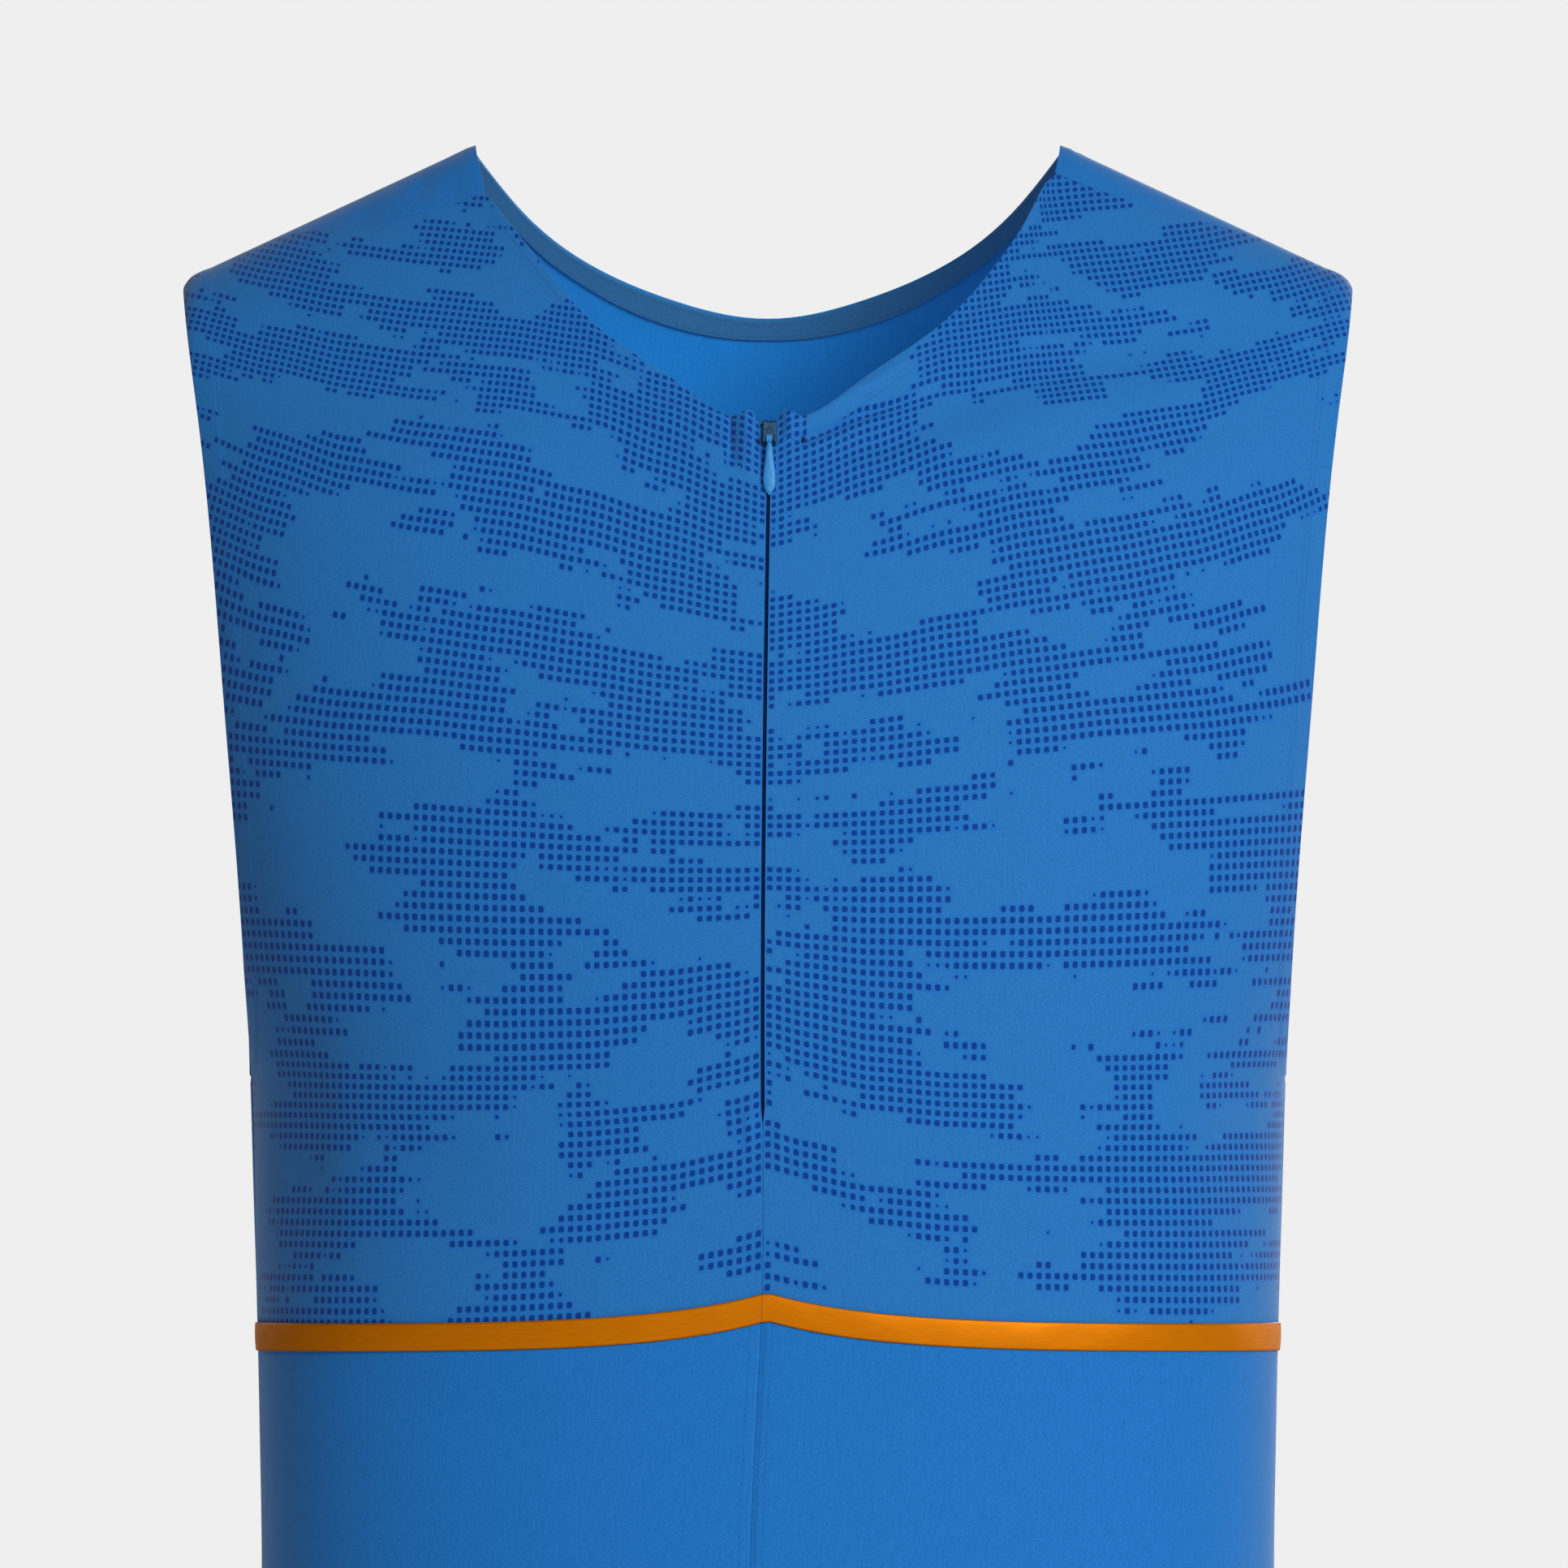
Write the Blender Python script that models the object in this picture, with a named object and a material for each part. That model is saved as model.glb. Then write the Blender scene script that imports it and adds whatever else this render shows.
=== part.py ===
"""Sleeveless zip-front athletics bodysuit, as worn: a hollow, open garment of thin cloth panels.

Sizes in the tables below are millimetres and degrees; meshes are in metres. The garment faces -Y, the
wearer's left is +X and +Z is up. The origin is the middle of the neck opening, level with the points
where neckline and shoulder meet, which is where the wearer's shoulders carry it.

The cloth's outer surface is one formula. Horizontal sections give the half width and the depths of
front and back at each height, the shoulder rolls them over a sloping ridge, the armhole trims them to
an oval, and below the hips each half closes round its own leg. Every panel is a stretch of that
surface between its own seams, with its inner side moved in along the same normals.
"""

import math
from collections import namedtuple

import bmesh
import bpy
import numpy as np
from mathutils import Matrix, Vector

MM = 0.001
FRONT, BACK = -1, 1
LEFT, RIGHT = 1, -1

# Cloth, seams and trims
CLOTH_WALL = 1.2
SEAM_GAP = 0.3
SHOULDER_SEAM_GAP = 0.9  # along the roll, where 1 unit is about 0.4 mm of cloth
BAND_WALL = 1.0
BAND_HEIGHT = 9.7
FACING_WALL = 1.0
FACING_WIDTH = 9.0
TAPE_WALL = 1.0
TAPE_WIDTH = 12.0

# Shoulders: the ridge falls in a straight line from neck point to shoulder tip
NECK_POINT_X = 101.0
SHOULDER_TIP_X = 200.0
SHOULDER_SLOPE = 0.465
SHOULDER_TIP_RADIUS = 5.0
ROLL_DROP = 110.0  # height over which the shoulder rounds from its ridge to the flat of chest or back
ROLL_LENGTH = 140.0  # the same stretch, measured along the cloth
SEAM_AT_NECK = {LEFT: 24.2, RIGHT: 31.8}  # how far forward of the ridge the shoulder seam starts
SEAM_CROSSES_RIDGE_X = {LEFT: 176.0, RIGHT: 173.5}
SEAM_CURVE = 2.2
SHOULDER_WRAP = 26.0  # cloth between the last armhole row and the shoulder seam, at the tip

# Armholes: ovals seen from the side
ARMHOLE_TOP = -46.0
ARMHOLE_BOTTOM = -320.0
ARMHOLE_HALF_DEPTH = 52.0

# Sections from the shoulders to the leg hems
Section = namedtuple("Section", "height half_width front back")
SECTIONS = (
    Section(0, 200.0, 44, 46),
    Section(-46, 200.0, 61, 68),
    Section(-93, 194.5, 81, 87),
    Section(-140, 189.5, 97, 99),
    Section(-190, 185.5, 106, 105),
    Section(-250, 180.7, 110, 103),
    Section(-313, 177.2, 106, 96),
    Section(-360, 175.8, 101, 90),
    Section(-402, 174.5, 97, 87),
    Section(-445, 173.6, 96.5, 90),
    Section(-486, 173.0, 98, 97),
    Section(-550, 175.0, 101, 110),
    Section(-615, 180.0, 102, 118),
    Section(-675, 183.0, 99, 115),
    Section(-715, 182.5, 95, 106),
    Section(-780, 177.0, 89, 94),
    Section(-880, 165.0, 80, 82),
)
SECTION_ROUNDNESS = 2.3  # exponent of the superellipse: 2 is an ellipse, more is squarer

# Neckline and back neck rim, from the centre out to the neck point
EdgePoint = namedtuple("EdgePoint", "x height")
FRONT_NECKLINE = (
    EdgePoint(0, -94),
    EdgePoint(12, -93.5),
    EdgePoint(31, -81),
    EdgePoint(63, -57.5),
    EdgePoint(85, -31),
)
BACK_RIM = (
    EdgePoint(0, -58.3),
    EdgePoint(32, -52.3),
    EdgePoint(57.7, -41.6),
    EdgePoint(84.6, -21),
    EdgePoint(100, -2.2),
)

# Centre front: the zip and the seams under it drift a little to one side
CENTRE_LINE = (
    EdgePoint(0.6, -94),
    EdgePoint(-1.7, -334),
    EdgePoint(-1.9, -391),
    EdgePoint(-6.0, -486),
    EdgePoint(-2.0, -600),
    EdgePoint(0.0, -715),
)
ZIP_TOP = -95.0
ZIP_BOTTOM = -334.0
ZIP_SLIT = 1.3
SLIT_CLOSES_OVER = 6.0
TAPE_RUNS_ON = 8.0  # tape below the last tooth

# Waist seam: level, with a peak at centre front
WAIST_HEIGHT = -406.8
WAIST_PEAK = 11.0
WAIST_PEAK_REACH = 38.0

# Hips, fork and legs
HIP_START = -500.0  # below this the section turns from one oval to two lobes, a leg each
HIP_END = -655.0
FORK_START = -600.0
CROTCH = -715.0
LEG_HEM = -880.0
LEG_PARTING = 17.0  # how far each inseam stands off the centre at the hem
LEG_PARTING_CURVE = 0.8

# Largest folds: soft troughs from one point to another, seen square on
Fold = namedtuple("Fold", "face x0 z0 x1 z1 half_width depth")
FOLDS = (
    Fold(FRONT, 190, -60, 84, -78, 13, 2.4),
    Fold(FRONT, 108, -72, 14, -106, 10, 2.6),
    Fold(FRONT, -188, -66, -78, -86, 14, 2.0),
    Fold(FRONT, -104, -78, -16, -108, 10, 2.2),
    Fold(FRONT, 163, -286, 158, -392, 12, 2.0),
    Fold(FRONT, -166, -280, -158, -396, 13, 2.6),
    Fold(FRONT, 24, -702, 128, -640, 12, 3.4),
    Fold(FRONT, -22, -700, -116, -650, 13, 3.0),
    Fold(FRONT, 40, -742, 150, -716, 11, 2.4),
    Fold(FRONT, -36, -736, -138, -722, 10, 2.8),
    Fold(BACK, 172, -84, 62, -158, 16, 2.6),
    Fold(BACK, -174, -92, -70, -150, 15, 2.2),
    Fold(BACK, 160, -338, 34, -366, 13, 3.2),
    Fold(BACK, -164, -352, -40, -372, 12, 2.8),
    Fold(BACK, 132, -432, -22, -440, 12, 2.4),
    Fold(BACK, 22, -704, 124, -728, 13, 3.6),
    Fold(BACK, -20, -700, -132, -734, 13, 3.2),
)

# Zip slider and pull, in their own frame: x across, y into the cloth, z up along it
ZIP_HEAD = -99.0  # height of the slider's middle
SLIDER_SIZE = Vector((5.2, 1.6, 9.0))
SLIDER_EDGE = 0.6
LUG_WIDTH = 1.0
LUG_HEIGHT = 2.6
LUG_REACH = 2.5
LUG_SUNK = 0.4  # how far each lug runs into the slider's body
LUG_EDGE = 0.3
LUG_BELOW_MIDDLE = 3.0
PIN_RADIUS = 0.5
PIN_STANDS_OFF = 1.9
EYE_RADIUS = 1.4
EYE_BORE = 0.8
EYE_WIDTH = 2.0
BORE_RUNS_PAST = 2.0
PULL_LENGTH = 18.8
PULL_STARTS = 0.9  # under the pin
PULL_THICKNESS = 0.7  # from its middle to either face
PULL_LEAN = -10.6  # out from the slider's face: the tip rests on the cloth
PULL_END_FULLNESS = 1.6  # how soon the rounded ends reach the full width
PullWidth = namedtuple("PullWidth", "share half_width")
PULL_OUTLINE = (
    PullWidth(0.0, 1.05),
    PullWidth(0.18, 1.2),
    PullWidth(0.45, 1.75),
    PullWidth(0.68, 2.15),
    PullWidth(0.86, 1.85),
    PullWidth(1.0, 0.9),
)

# Facets
COLUMNS = 15  # from centre to side, evenly turned, so that the neck point lies on one of them
NECK_COLUMN = 5
ROWS_OF_ARMHOLE = 20
ROWS_TO_WAIST = 5
ROWS_OF_BACK = 1 + ROWS_OF_ARMHOLE + ROWS_TO_WAIST  # the first lies beside the neck facing
END_ROWS = 0.65  # how much of the mean row height is taken off the armhole's first and last rows
ROWS_OVER_SHOULDER = 5
ROWS_OF_HIP = 9
ROWS_OF_FORK = 6
ROWS_OF_LEG = 6
ROWS_OF_ZIP = 18
NORMAL_STEP = 0.4
SETTLING_STEPS = 12  # x and height each depend on the other, so they are found in turn
ROD_SIDES = 12
EYE_SIDES = 16
DROP_SIDES = 12

SIDE_ANGLE = 90.0
NECK_SHARE = math.sin(math.radians(SIDE_ANGLE * NECK_COLUMN / COLUMNS))  # of the way out to the tip


class Curve:
    """A natural cubic spline through a short table, level beyond its ends."""

    def __init__(self, at, value):
        order = np.argsort(at)
        self.at = np.array(at, float)[order]
        self.value = np.array(value, float)[order]
        step = np.diff(self.at)
        slope = np.diff(self.value) / step
        system = np.eye(len(self.at))
        right = np.zeros(len(self.at))
        for i in range(1, len(self.at) - 1):
            system[i, i - 1 : i + 2] = step[i - 1], 2 * (step[i - 1] + step[i]), step[i]
            right[i] = 6 * (slope[i] - slope[i - 1])
        self.bend = np.linalg.solve(system, right)

    def __call__(self, at):
        at = np.clip(at, self.at[0], self.at[-1])
        i = np.clip(np.searchsorted(self.at, at) - 1, 0, len(self.at) - 2)
        step = self.at[i + 1] - self.at[i]
        low = (self.at[i + 1] - at) / step
        high = 1 - low
        bow = (low**3 - low) * self.bend[i] + (high**3 - high) * self.bend[i + 1]
        return low * self.value[i] + high * self.value[i + 1] + bow * step**2 / 6


def section_curve(column):
    return Curve([row.height for row in SECTIONS], [getattr(row, column) for row in SECTIONS])


HALF_WIDTH = section_curve("half_width")
DEPTH = {FRONT: section_curve("front"), BACK: section_curve("back")}
CENTRE_X = Curve([p.height for p in CENTRE_LINE], [p.x for p in CENTRE_LINE])
BACK_RIM_HEIGHT = Curve([p.x for p in BACK_RIM], [p.height for p in BACK_RIM])


def ridge_height(x):
    """Top line of the shoulder over each x, rounded off at the tip."""
    x = np.abs(x)
    into_tip = np.clip((x - SHOULDER_TIP_X) / SHOULDER_TIP_RADIUS + 1, 0, 1)
    rounding = SHOULDER_TIP_RADIUS * (1 - np.sqrt(1 - into_tip**2))
    return -SHOULDER_SLOPE * (x - NECK_POINT_X) - rounding


def rolled(fall):
    """Share of the full depth left this far under the ridge: 0 on the ridge, 1 below the rounding."""
    return np.sqrt(1 - (1 - np.clip(fall / ROLL_DROP, 0, 1)) ** 2)


def drop_after(walked):
    """Height lost after walking down the cloth from the ridge, forward (+) or backward (-)."""
    walked = np.abs(walked)
    angle = np.radians(SIDE_ANGLE * np.minimum(walked / ROLL_LENGTH, 1))
    return ROLL_DROP * (1 - np.cos(angle)) + np.maximum(walked - ROLL_LENGTH, 0)


def walk_to(height, x):
    """How far down the cloth from the ridge a height is reached."""
    drop = np.maximum(ridge_height(x) - height, 0)
    angle = np.degrees(np.arccos(1 - np.minimum(drop / ROLL_DROP, 1)))
    return ROLL_LENGTH * angle / SIDE_ANGLE + np.maximum(drop - ROLL_DROP, 0)


def armhole_reach(height):
    """Half the armhole's opening, front to back, at each height."""
    middle = (ARMHOLE_TOP + ARMHOLE_BOTTOM) / 2
    share = (height - middle) / (ARMHOLE_TOP - middle)
    return ARMHOLE_HALF_DEPTH * np.sqrt(np.maximum(1 - share**2, 0))


def edge_share(face, height):
    """Depth left at the outer edge, as a share of the centre's: 0 on a closed side, more at an armhole."""
    height = np.minimum(height, ARMHOLE_TOP - 1)
    fall = ARMHOLE_TOP - height + SHOULDER_SLOPE * (SHOULDER_TIP_X - HALF_WIDTH(height))
    return np.clip(armhole_reach(height) / (DEPTH[face](height) * rolled(fall)), 0, 0.95)


def side_profile(face, share, height):
    """Depth across a section, as a share of the centre's, at a share of the half width."""
    edge = edge_share(face, height) ** SECTION_ROUNDNESS
    left = 1 - (1 - edge) * np.minimum(np.abs(share), 1) ** SECTION_ROUNDNESS
    return left ** (1 / SECTION_ROUNDNESS)


def torso_point(face, x, height):
    """The body's outer surface, in mm, where a given x and height meet it on the front or the back."""
    share = x / HALF_WIDTH(height)
    depth = DEPTH[face](height) * side_profile(face, share, height) + SEAM_GAP / 2
    return np.stack([x, face * depth * rolled(ridge_height(x) - height), height], axis=-1)


def slit_half_width(height):
    """Half the gap between the two fronts: the zip's slit, then a closed seam."""
    blend = np.clip((ZIP_BOTTOM - height) / SLIT_CLOSES_OVER + 1, 0, 1)
    return (ZIP_SLIT * (1 - blend) + SEAM_GAP * blend) / 2


def across(face, side, angle, height):
    """x at an angle from centre (0) to side (90), from the panel's centre edge outwards."""
    if face == FRONT:
        start = CENTRE_X(height) + side * slit_half_width(height)
    else:
        start = side * SEAM_GAP / 2
    return start + (side * HALF_WIDTH(height) - start) * np.sin(np.radians(angle))


def upper_front(side):
    """Surface of one upper front: angle from centre, and walk down from the ridge."""

    def surface(angle, walked):
        height = np.full(np.shape(angle), ARMHOLE_TOP)
        for _ in range(SETTLING_STEPS):
            x = across(FRONT, side, angle, height)
            height = ridge_height(x) - drop_after(walked)
        ahead = torso_point(FRONT, x, height)
        behind = torso_point(BACK, x, height)
        return np.where((walked >= 0)[..., None], ahead, behind)

    return surface


def upper_back(angle, walked):
    """Surface of the upper back, which also runs forward over the shoulder where walked is above 0."""
    height = np.full(np.shape(angle), ARMHOLE_TOP)
    for _ in range(SETTLING_STEPS):
        x = HALF_WIDTH(height) * np.sin(np.radians(angle))
        height = ridge_height(x) - drop_after(walked)
    ahead = torso_point(FRONT, x, height)
    behind = torso_point(BACK, x, height)
    return np.where((walked >= 0)[..., None], ahead, behind)


def lobe_point(face, side, angle, height, fork_depth):
    """One of two lobes side by side, whose seam between them stands at a share of the full depth.

    At a fork_depth of 1 the lobes join in a flat, and at 0 each is a leg with its inseam at angle 0.
    """
    below = np.clip((CROTCH - height) / (CROTCH - LEG_HEM), 0, 1)
    inner = SEAM_GAP / 2 + LEG_PARTING * below**LEG_PARTING_CURVE
    outer = HALF_WIDTH(height)
    turn = np.radians(2 * angle)
    x = (outer + inner) / 2 - (outer - inner) / 2 * np.cos(turn)
    inner_half = angle < SIDE_ANGLE / 2
    share = np.where(inner_half, fork_depth + (1 - fork_depth) * np.sin(turn), np.sin(turn))
    return np.stack([side * x, face * (DEPTH[face](height) * share + SEAM_GAP / 2), height], axis=-1)


def eased(share):
    """A share from 0 to 1 that starts and ends gently."""
    share = np.clip(share, 0, 1)
    return share**2 * (3 - 2 * share)


def lower_body(face, side):
    """Surface of one quarter of the shorts: angle from centre seam or inseam, and height."""

    def surface(angle, height):
        fork_share = np.clip((FORK_START - height) / (FORK_START - CROTCH), 0, 1)
        lobes = lobe_point(face, side, angle, height, np.sqrt(1 - fork_share**2))
        body = torso_point(face, across(face, side, angle, height), height)
        share = eased((HIP_START - height) / (HIP_START - HIP_END))[..., None]
        return body * (1 - share) + lobes * share

    return surface


def fold_depth(face, x, height):
    """How far the folds draw the cloth in at a place on the front or the back."""
    total = np.zeros(np.shape(x))
    for fold in FOLDS:
        run_x = fold.x1 - fold.x0
        run_z = fold.z1 - fold.z0
        length = math.hypot(run_x, run_z)
        along = ((x - fold.x0) * run_x + (height - fold.z0) * run_z) / length**2
        aside = ((x - fold.x0) * run_z - (height - fold.z0) * run_x) / length
        fade = np.clip(1 - (2 * along - 1) ** 2, 0, 1) ** 1.5
        trough = fold.depth * fade * np.exp(-((aside / fold.half_width) ** 2))
        total = total + np.where(np.asarray(face) == fold.face, trough, 0)
    return total


def moved_out(surface, face, angle, down, lift):
    """Points of a surface with its folds, moved out of the cloth by lift."""
    low = np.maximum(angle - NORMAL_STEP, -SIDE_ANGLE)
    high = np.minimum(angle + NORMAL_STEP, SIDE_ANGLE)
    here = surface(angle, down)
    normal = np.cross(
        surface(high, down) - surface(low, down),
        surface(angle, down + NORMAL_STEP) - surface(angle, down - NORMAL_STEP),
    )
    normal /= np.linalg.norm(normal, axis=-1, keepdims=True)
    outward = normal[..., 1] * face + normal[..., 0] * here[..., 0] / SHOULDER_TIP_X
    if outward.mean() < 0:
        normal = -normal
    fold_face = np.where(here[..., 1] < 0, FRONT, BACK)
    draw = lift - fold_depth(fold_face, here[..., 0], here[..., 2])
    return here + normal * draw[..., None], normal


def waist_line(face, x):
    """Height of the waist seam."""
    peak = WAIST_PEAK * np.exp(-np.abs(x) / WAIST_PEAK_REACH) if face == FRONT else 0
    return WAIST_HEIGHT + peak


def shoulder_seam(side, x):
    """Where the shoulder seam lies, walked forward of the ridge (+) or behind it (-)."""
    start = ROLL_LENGTH * SEAM_AT_NECK[side] / SIDE_ANGLE
    share = (np.abs(x) - NECK_POINT_X) / (SEAM_CROSSES_RIDGE_X[side] - NECK_POINT_X)
    share = np.maximum(share, 0)
    before = 1 - share**SEAM_CURVE
    after = np.exp(-SEAM_CURVE * np.maximum(share - 1, 0)) - 1
    return start * np.where(share < 1, before, after)


def front_neckline(side):
    """Height of the front neckline over each x, ending at the shoulder seam."""
    x = NECK_SHARE * SHOULDER_TIP_X
    corner = float(ridge_height(x) - drop_after(shoulder_seam(side, x) + SHOULDER_SEAM_GAP / 2))
    points = (*FRONT_NECKLINE, EdgePoint(x, corner))
    return Curve([p.x for p in points], [p.height for p in points])


def cloth_mesh(columns, rows, place, wall, cut_away=None):
    """A closed cloth wall.

    place turns column and row shares, both 0 to 1, into points of the outer side and their normals.
    cut_away says of a cell's column and row whether the panel goes round it.
    """
    mesh = bmesh.new()
    bmesh.ops.create_grid(mesh, x_segments=columns, y_segments=rows, size=1)
    if cut_away:
        cells = [face for face in mesh.faces if cut_away(*divmod(face.index, columns)[::-1])]
        bmesh.ops.delete(mesh, geom=cells, context="FACES")
    shares = np.array([(vert.co.x + 1, vert.co.y + 1) for vert in mesh.verts]) / 2
    outer, normals = place(shares[:, 0], shares[:, 1])
    inner = outer - normals * wall
    point_number = mesh.verts.layers.int.new("point_number")
    for number, vert in enumerate(mesh.verts):
        vert[point_number] = number
    bmesh.ops.triangulate(mesh, faces=mesh.faces[:], quad_method="FIXED")
    made = bmesh.ops.extrude_face_region(mesh, geom=mesh.faces[:], use_keep_orig=True)
    inner_side = {part for part in made["geom"] if isinstance(part, bmesh.types.BMVert)}
    for vert in mesh.verts:
        side = inner if vert in inner_side else outer
        vert.co = Vector(side[vert[point_number]]) * MM
    bmesh.ops.recalc_face_normals(mesh, faces=mesh.faces[:])
    return mesh


def finish(name, colour, roughness, metallic=0.0):
    """A Principled material."""
    material = bpy.data.materials.new(name)
    material.use_nodes = True
    shader = material.node_tree.nodes["Principled BSDF"]
    shader.inputs["Base Color"].default_value = (*colour, 1.0)
    shader.inputs["Roughness"].default_value = roughness
    shader.inputs["Metallic"].default_value = metallic
    return material


def add_object(name, mesh, collection, material=None, parent=None):
    """An object made from a bmesh, which is freed."""
    data = bpy.data.meshes.new(name)
    mesh.to_mesh(data)
    mesh.free()
    data.shade_smooth()
    piece = bpy.data.objects.new(name, data)
    piece.parent = parent
    collection.objects.link(piece)
    if material:
        data.materials.append(material)
    return piece


def upper_rows(at):
    """Shares of the way from the top edge to the underarm, then from there to the waist, at a row."""
    share = np.clip(at / ROWS_OF_ARMHOLE, 0, 1)
    along = share - END_ROWS * np.sin(2 * np.pi * share) / (2 * np.pi)
    return along, np.clip((at - ROWS_OF_ARMHOLE) / ROWS_TO_WAIST, 0, 1)


def front_panel_mesh(side):
    """One upper front, from neckline and shoulder seam down to the waist seam."""
    surface = upper_front(side)
    neckline = front_neckline(side)

    def place(column, row):
        angle = SIDE_ANGLE * column
        x = across(FRONT, side, angle, np.full(angle.shape, ARMHOLE_TOP))
        for _ in range(SETTLING_STEPS):
            top = neckline(np.abs(x))
            x = across(FRONT, side, angle, np.where(np.abs(x) < NECK_POINT_X, top, ARMHOLE_TOP))
        seam = shoulder_seam(side, x) + SHOULDER_SEAM_GAP / 2
        in_neck = column * COLUMNS < NECK_COLUMN - 0.5
        start = np.where(in_neck, walk_to(top, x), seam)
        foot = across(FRONT, side, angle, np.full(angle.shape, WAIST_HEIGHT))
        end = walk_to(waist_line(FRONT, foot) + SEAM_GAP / 2, foot)
        arm = walk_to(np.full(angle.shape, ARMHOLE_BOTTOM), foot)
        along, on = upper_rows(row * (ROWS_OF_ARMHOLE + ROWS_TO_WAIST))
        return moved_out(surface, FRONT, angle, start + (arm - start) * along + (end - arm) * on, 0)

    return cloth_mesh(COLUMNS, ROWS_OF_ARMHOLE + ROWS_TO_WAIST, place, CLOTH_WALL)


def back_panel_mesh():
    """The upper back, from the waist seam to the neck rim and over each shoulder to its seam."""
    rows = ROWS_OF_BACK + ROWS_OVER_SHOULDER

    def place(column, row):
        angle = SIDE_ANGLE * (2 * column - 1)
        x = SHOULDER_TIP_X * np.sin(np.radians(angle))
        rim = -walk_to(BACK_RIM_HEIGHT(np.abs(x)), x)
        seam = np.where(x > 0, shoulder_seam(LEFT, x), shoulder_seam(RIGHT, x)) - SHOULDER_SEAM_GAP / 2
        beyond_neck = np.maximum(np.abs(x) / SHOULDER_TIP_X - NECK_SHARE, 0) / (1 - NECK_SHARE)
        top = rim + (seam - SHOULDER_WRAP - rim) * beyond_neck
        foot = HALF_WIDTH(WAIST_HEIGHT) * np.sin(np.radians(angle))
        bottom = -walk_to(waist_line(BACK, foot) + SEAM_GAP / 2, foot)
        at = row * rows
        arm = -walk_to(np.full(angle.shape, ARMHOLE_BOTTOM), foot)
        along, on = upper_rows(ROWS_OF_BACK - 1 - np.minimum(at, ROWS_OF_BACK - 1))
        beside_facing = np.clip(at - (ROWS_OF_BACK - 1), 0, 1)
        over = np.clip((at - ROWS_OF_BACK) / ROWS_OVER_SHOULDER, 0, 1)
        start = top - FACING_WIDTH
        below = start + (arm - start) * along + (bottom - arm) * on
        walked = below + FACING_WIDTH * beside_facing + (seam - top) * over
        return moved_out(upper_back, BACK, angle, walked, 0)

    def in_neck(column, row):
        return row >= ROWS_OF_BACK and abs(column + 0.5 - COLUMNS) < NECK_COLUMN

    return cloth_mesh(2 * COLUMNS, rows, place, CLOTH_WALL, in_neck)


def shorts_mesh(face, side):
    """One quarter of the shorts, from the waist seam down to the leg hem."""
    surface = lower_body(face, side)
    rows = ROWS_OF_HIP + ROWS_OF_FORK + ROWS_OF_LEG

    def place(column, row):
        angle = SIDE_ANGLE * column
        at = row * rows
        waist = across(face, side, angle, np.full(angle.shape, WAIST_HEIGHT))
        top = waist_line(face, waist) - SEAM_GAP / 2
        hip = top + (FORK_START - top) * np.clip(at / ROWS_OF_HIP, 0, 1)
        into_fork = np.clip((at - ROWS_OF_HIP) / ROWS_OF_FORK, 0, 1)
        evenly = into_fork * column + np.sin(np.radians(SIDE_ANGLE * into_fork)) * (1 - column)
        below = np.clip((at - ROWS_OF_HIP - ROWS_OF_FORK) / ROWS_OF_LEG, 0, 1)
        height = hip + (CROTCH - FORK_START) * evenly + (LEG_HEM - CROTCH) * below
        return moved_out(surface, face, angle, height, 0)

    return cloth_mesh(COLUMNS, rows, place, CLOTH_WALL)


def band_mesh(face, side):
    """The waist band over the waist seam: a half on the front, the whole width on the back."""
    surface = upper_front(side) if face == FRONT else upper_back

    def place(column, row):
        if face == FRONT:
            angle = SIDE_ANGLE * column
            foot = across(FRONT, side, angle, np.full(angle.shape, WAIST_HEIGHT))
        else:
            angle = SIDE_ANGLE * (2 * column - 1)
            foot = HALF_WIDTH(WAIST_HEIGHT) * np.sin(np.radians(angle))
        height = waist_line(face, foot) + BAND_HEIGHT * (0.5 - row)
        walked = walk_to(height, foot) * -face
        return moved_out(surface, face, angle, walked, SEAM_GAP + BAND_WALL)

    return cloth_mesh(COLUMNS if face == FRONT else 2 * COLUMNS, 2, place, BAND_WALL)


def facing_mesh():
    """The band inside the back neck rim, hung from the rim on the cloth's inner side."""

    def place(column, row):
        angle = SIDE_ANGLE * (2 * column - 1) * NECK_COLUMN / COLUMNS
        x = SHOULDER_TIP_X * np.sin(np.radians(angle))
        rim = -walk_to(BACK_RIM_HEIGHT(np.abs(x)), x)
        return moved_out(upper_back, BACK, angle, rim - FACING_WIDTH * (1 - row), -CLOTH_WALL - SEAM_GAP)

    return cloth_mesh(2 * NECK_COLUMN, 1, place, FACING_WALL)


def tape_mesh(side):
    """One zip tape, behind the centre edge of its front."""
    surface = upper_front(side)

    def place(column, row):
        height = ZIP_TOP + (ZIP_BOTTOM - TAPE_RUNS_ON - ZIP_TOP) * row
        start = CENTRE_X(height) + side * slit_half_width(height)
        inner = CENTRE_X(height) + side * SEAM_GAP / 2
        x = inner + side * TAPE_WIDTH * column
        span = side * HALF_WIDTH(height) - start
        angle = np.degrees(np.arcsin(np.clip((x - start) / span, -1, 1)))
        return moved_out(surface, FRONT, angle, walk_to(height, x), -CLOTH_WALL - SEAM_GAP)

    return cloth_mesh(1, ROWS_OF_ZIP, place, TAPE_WALL)


def box_mesh(size, edge):
    """A box with rounded edges."""
    mesh = bmesh.new()
    bmesh.ops.create_cube(mesh, size=1)
    bmesh.ops.scale(mesh, vec=size * MM, verts=mesh.verts)
    bmesh.ops.bevel(mesh, geom=mesh.edges[:], offset=edge * MM, segments=2, profile=0.5, affect="EDGES")
    return mesh


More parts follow.
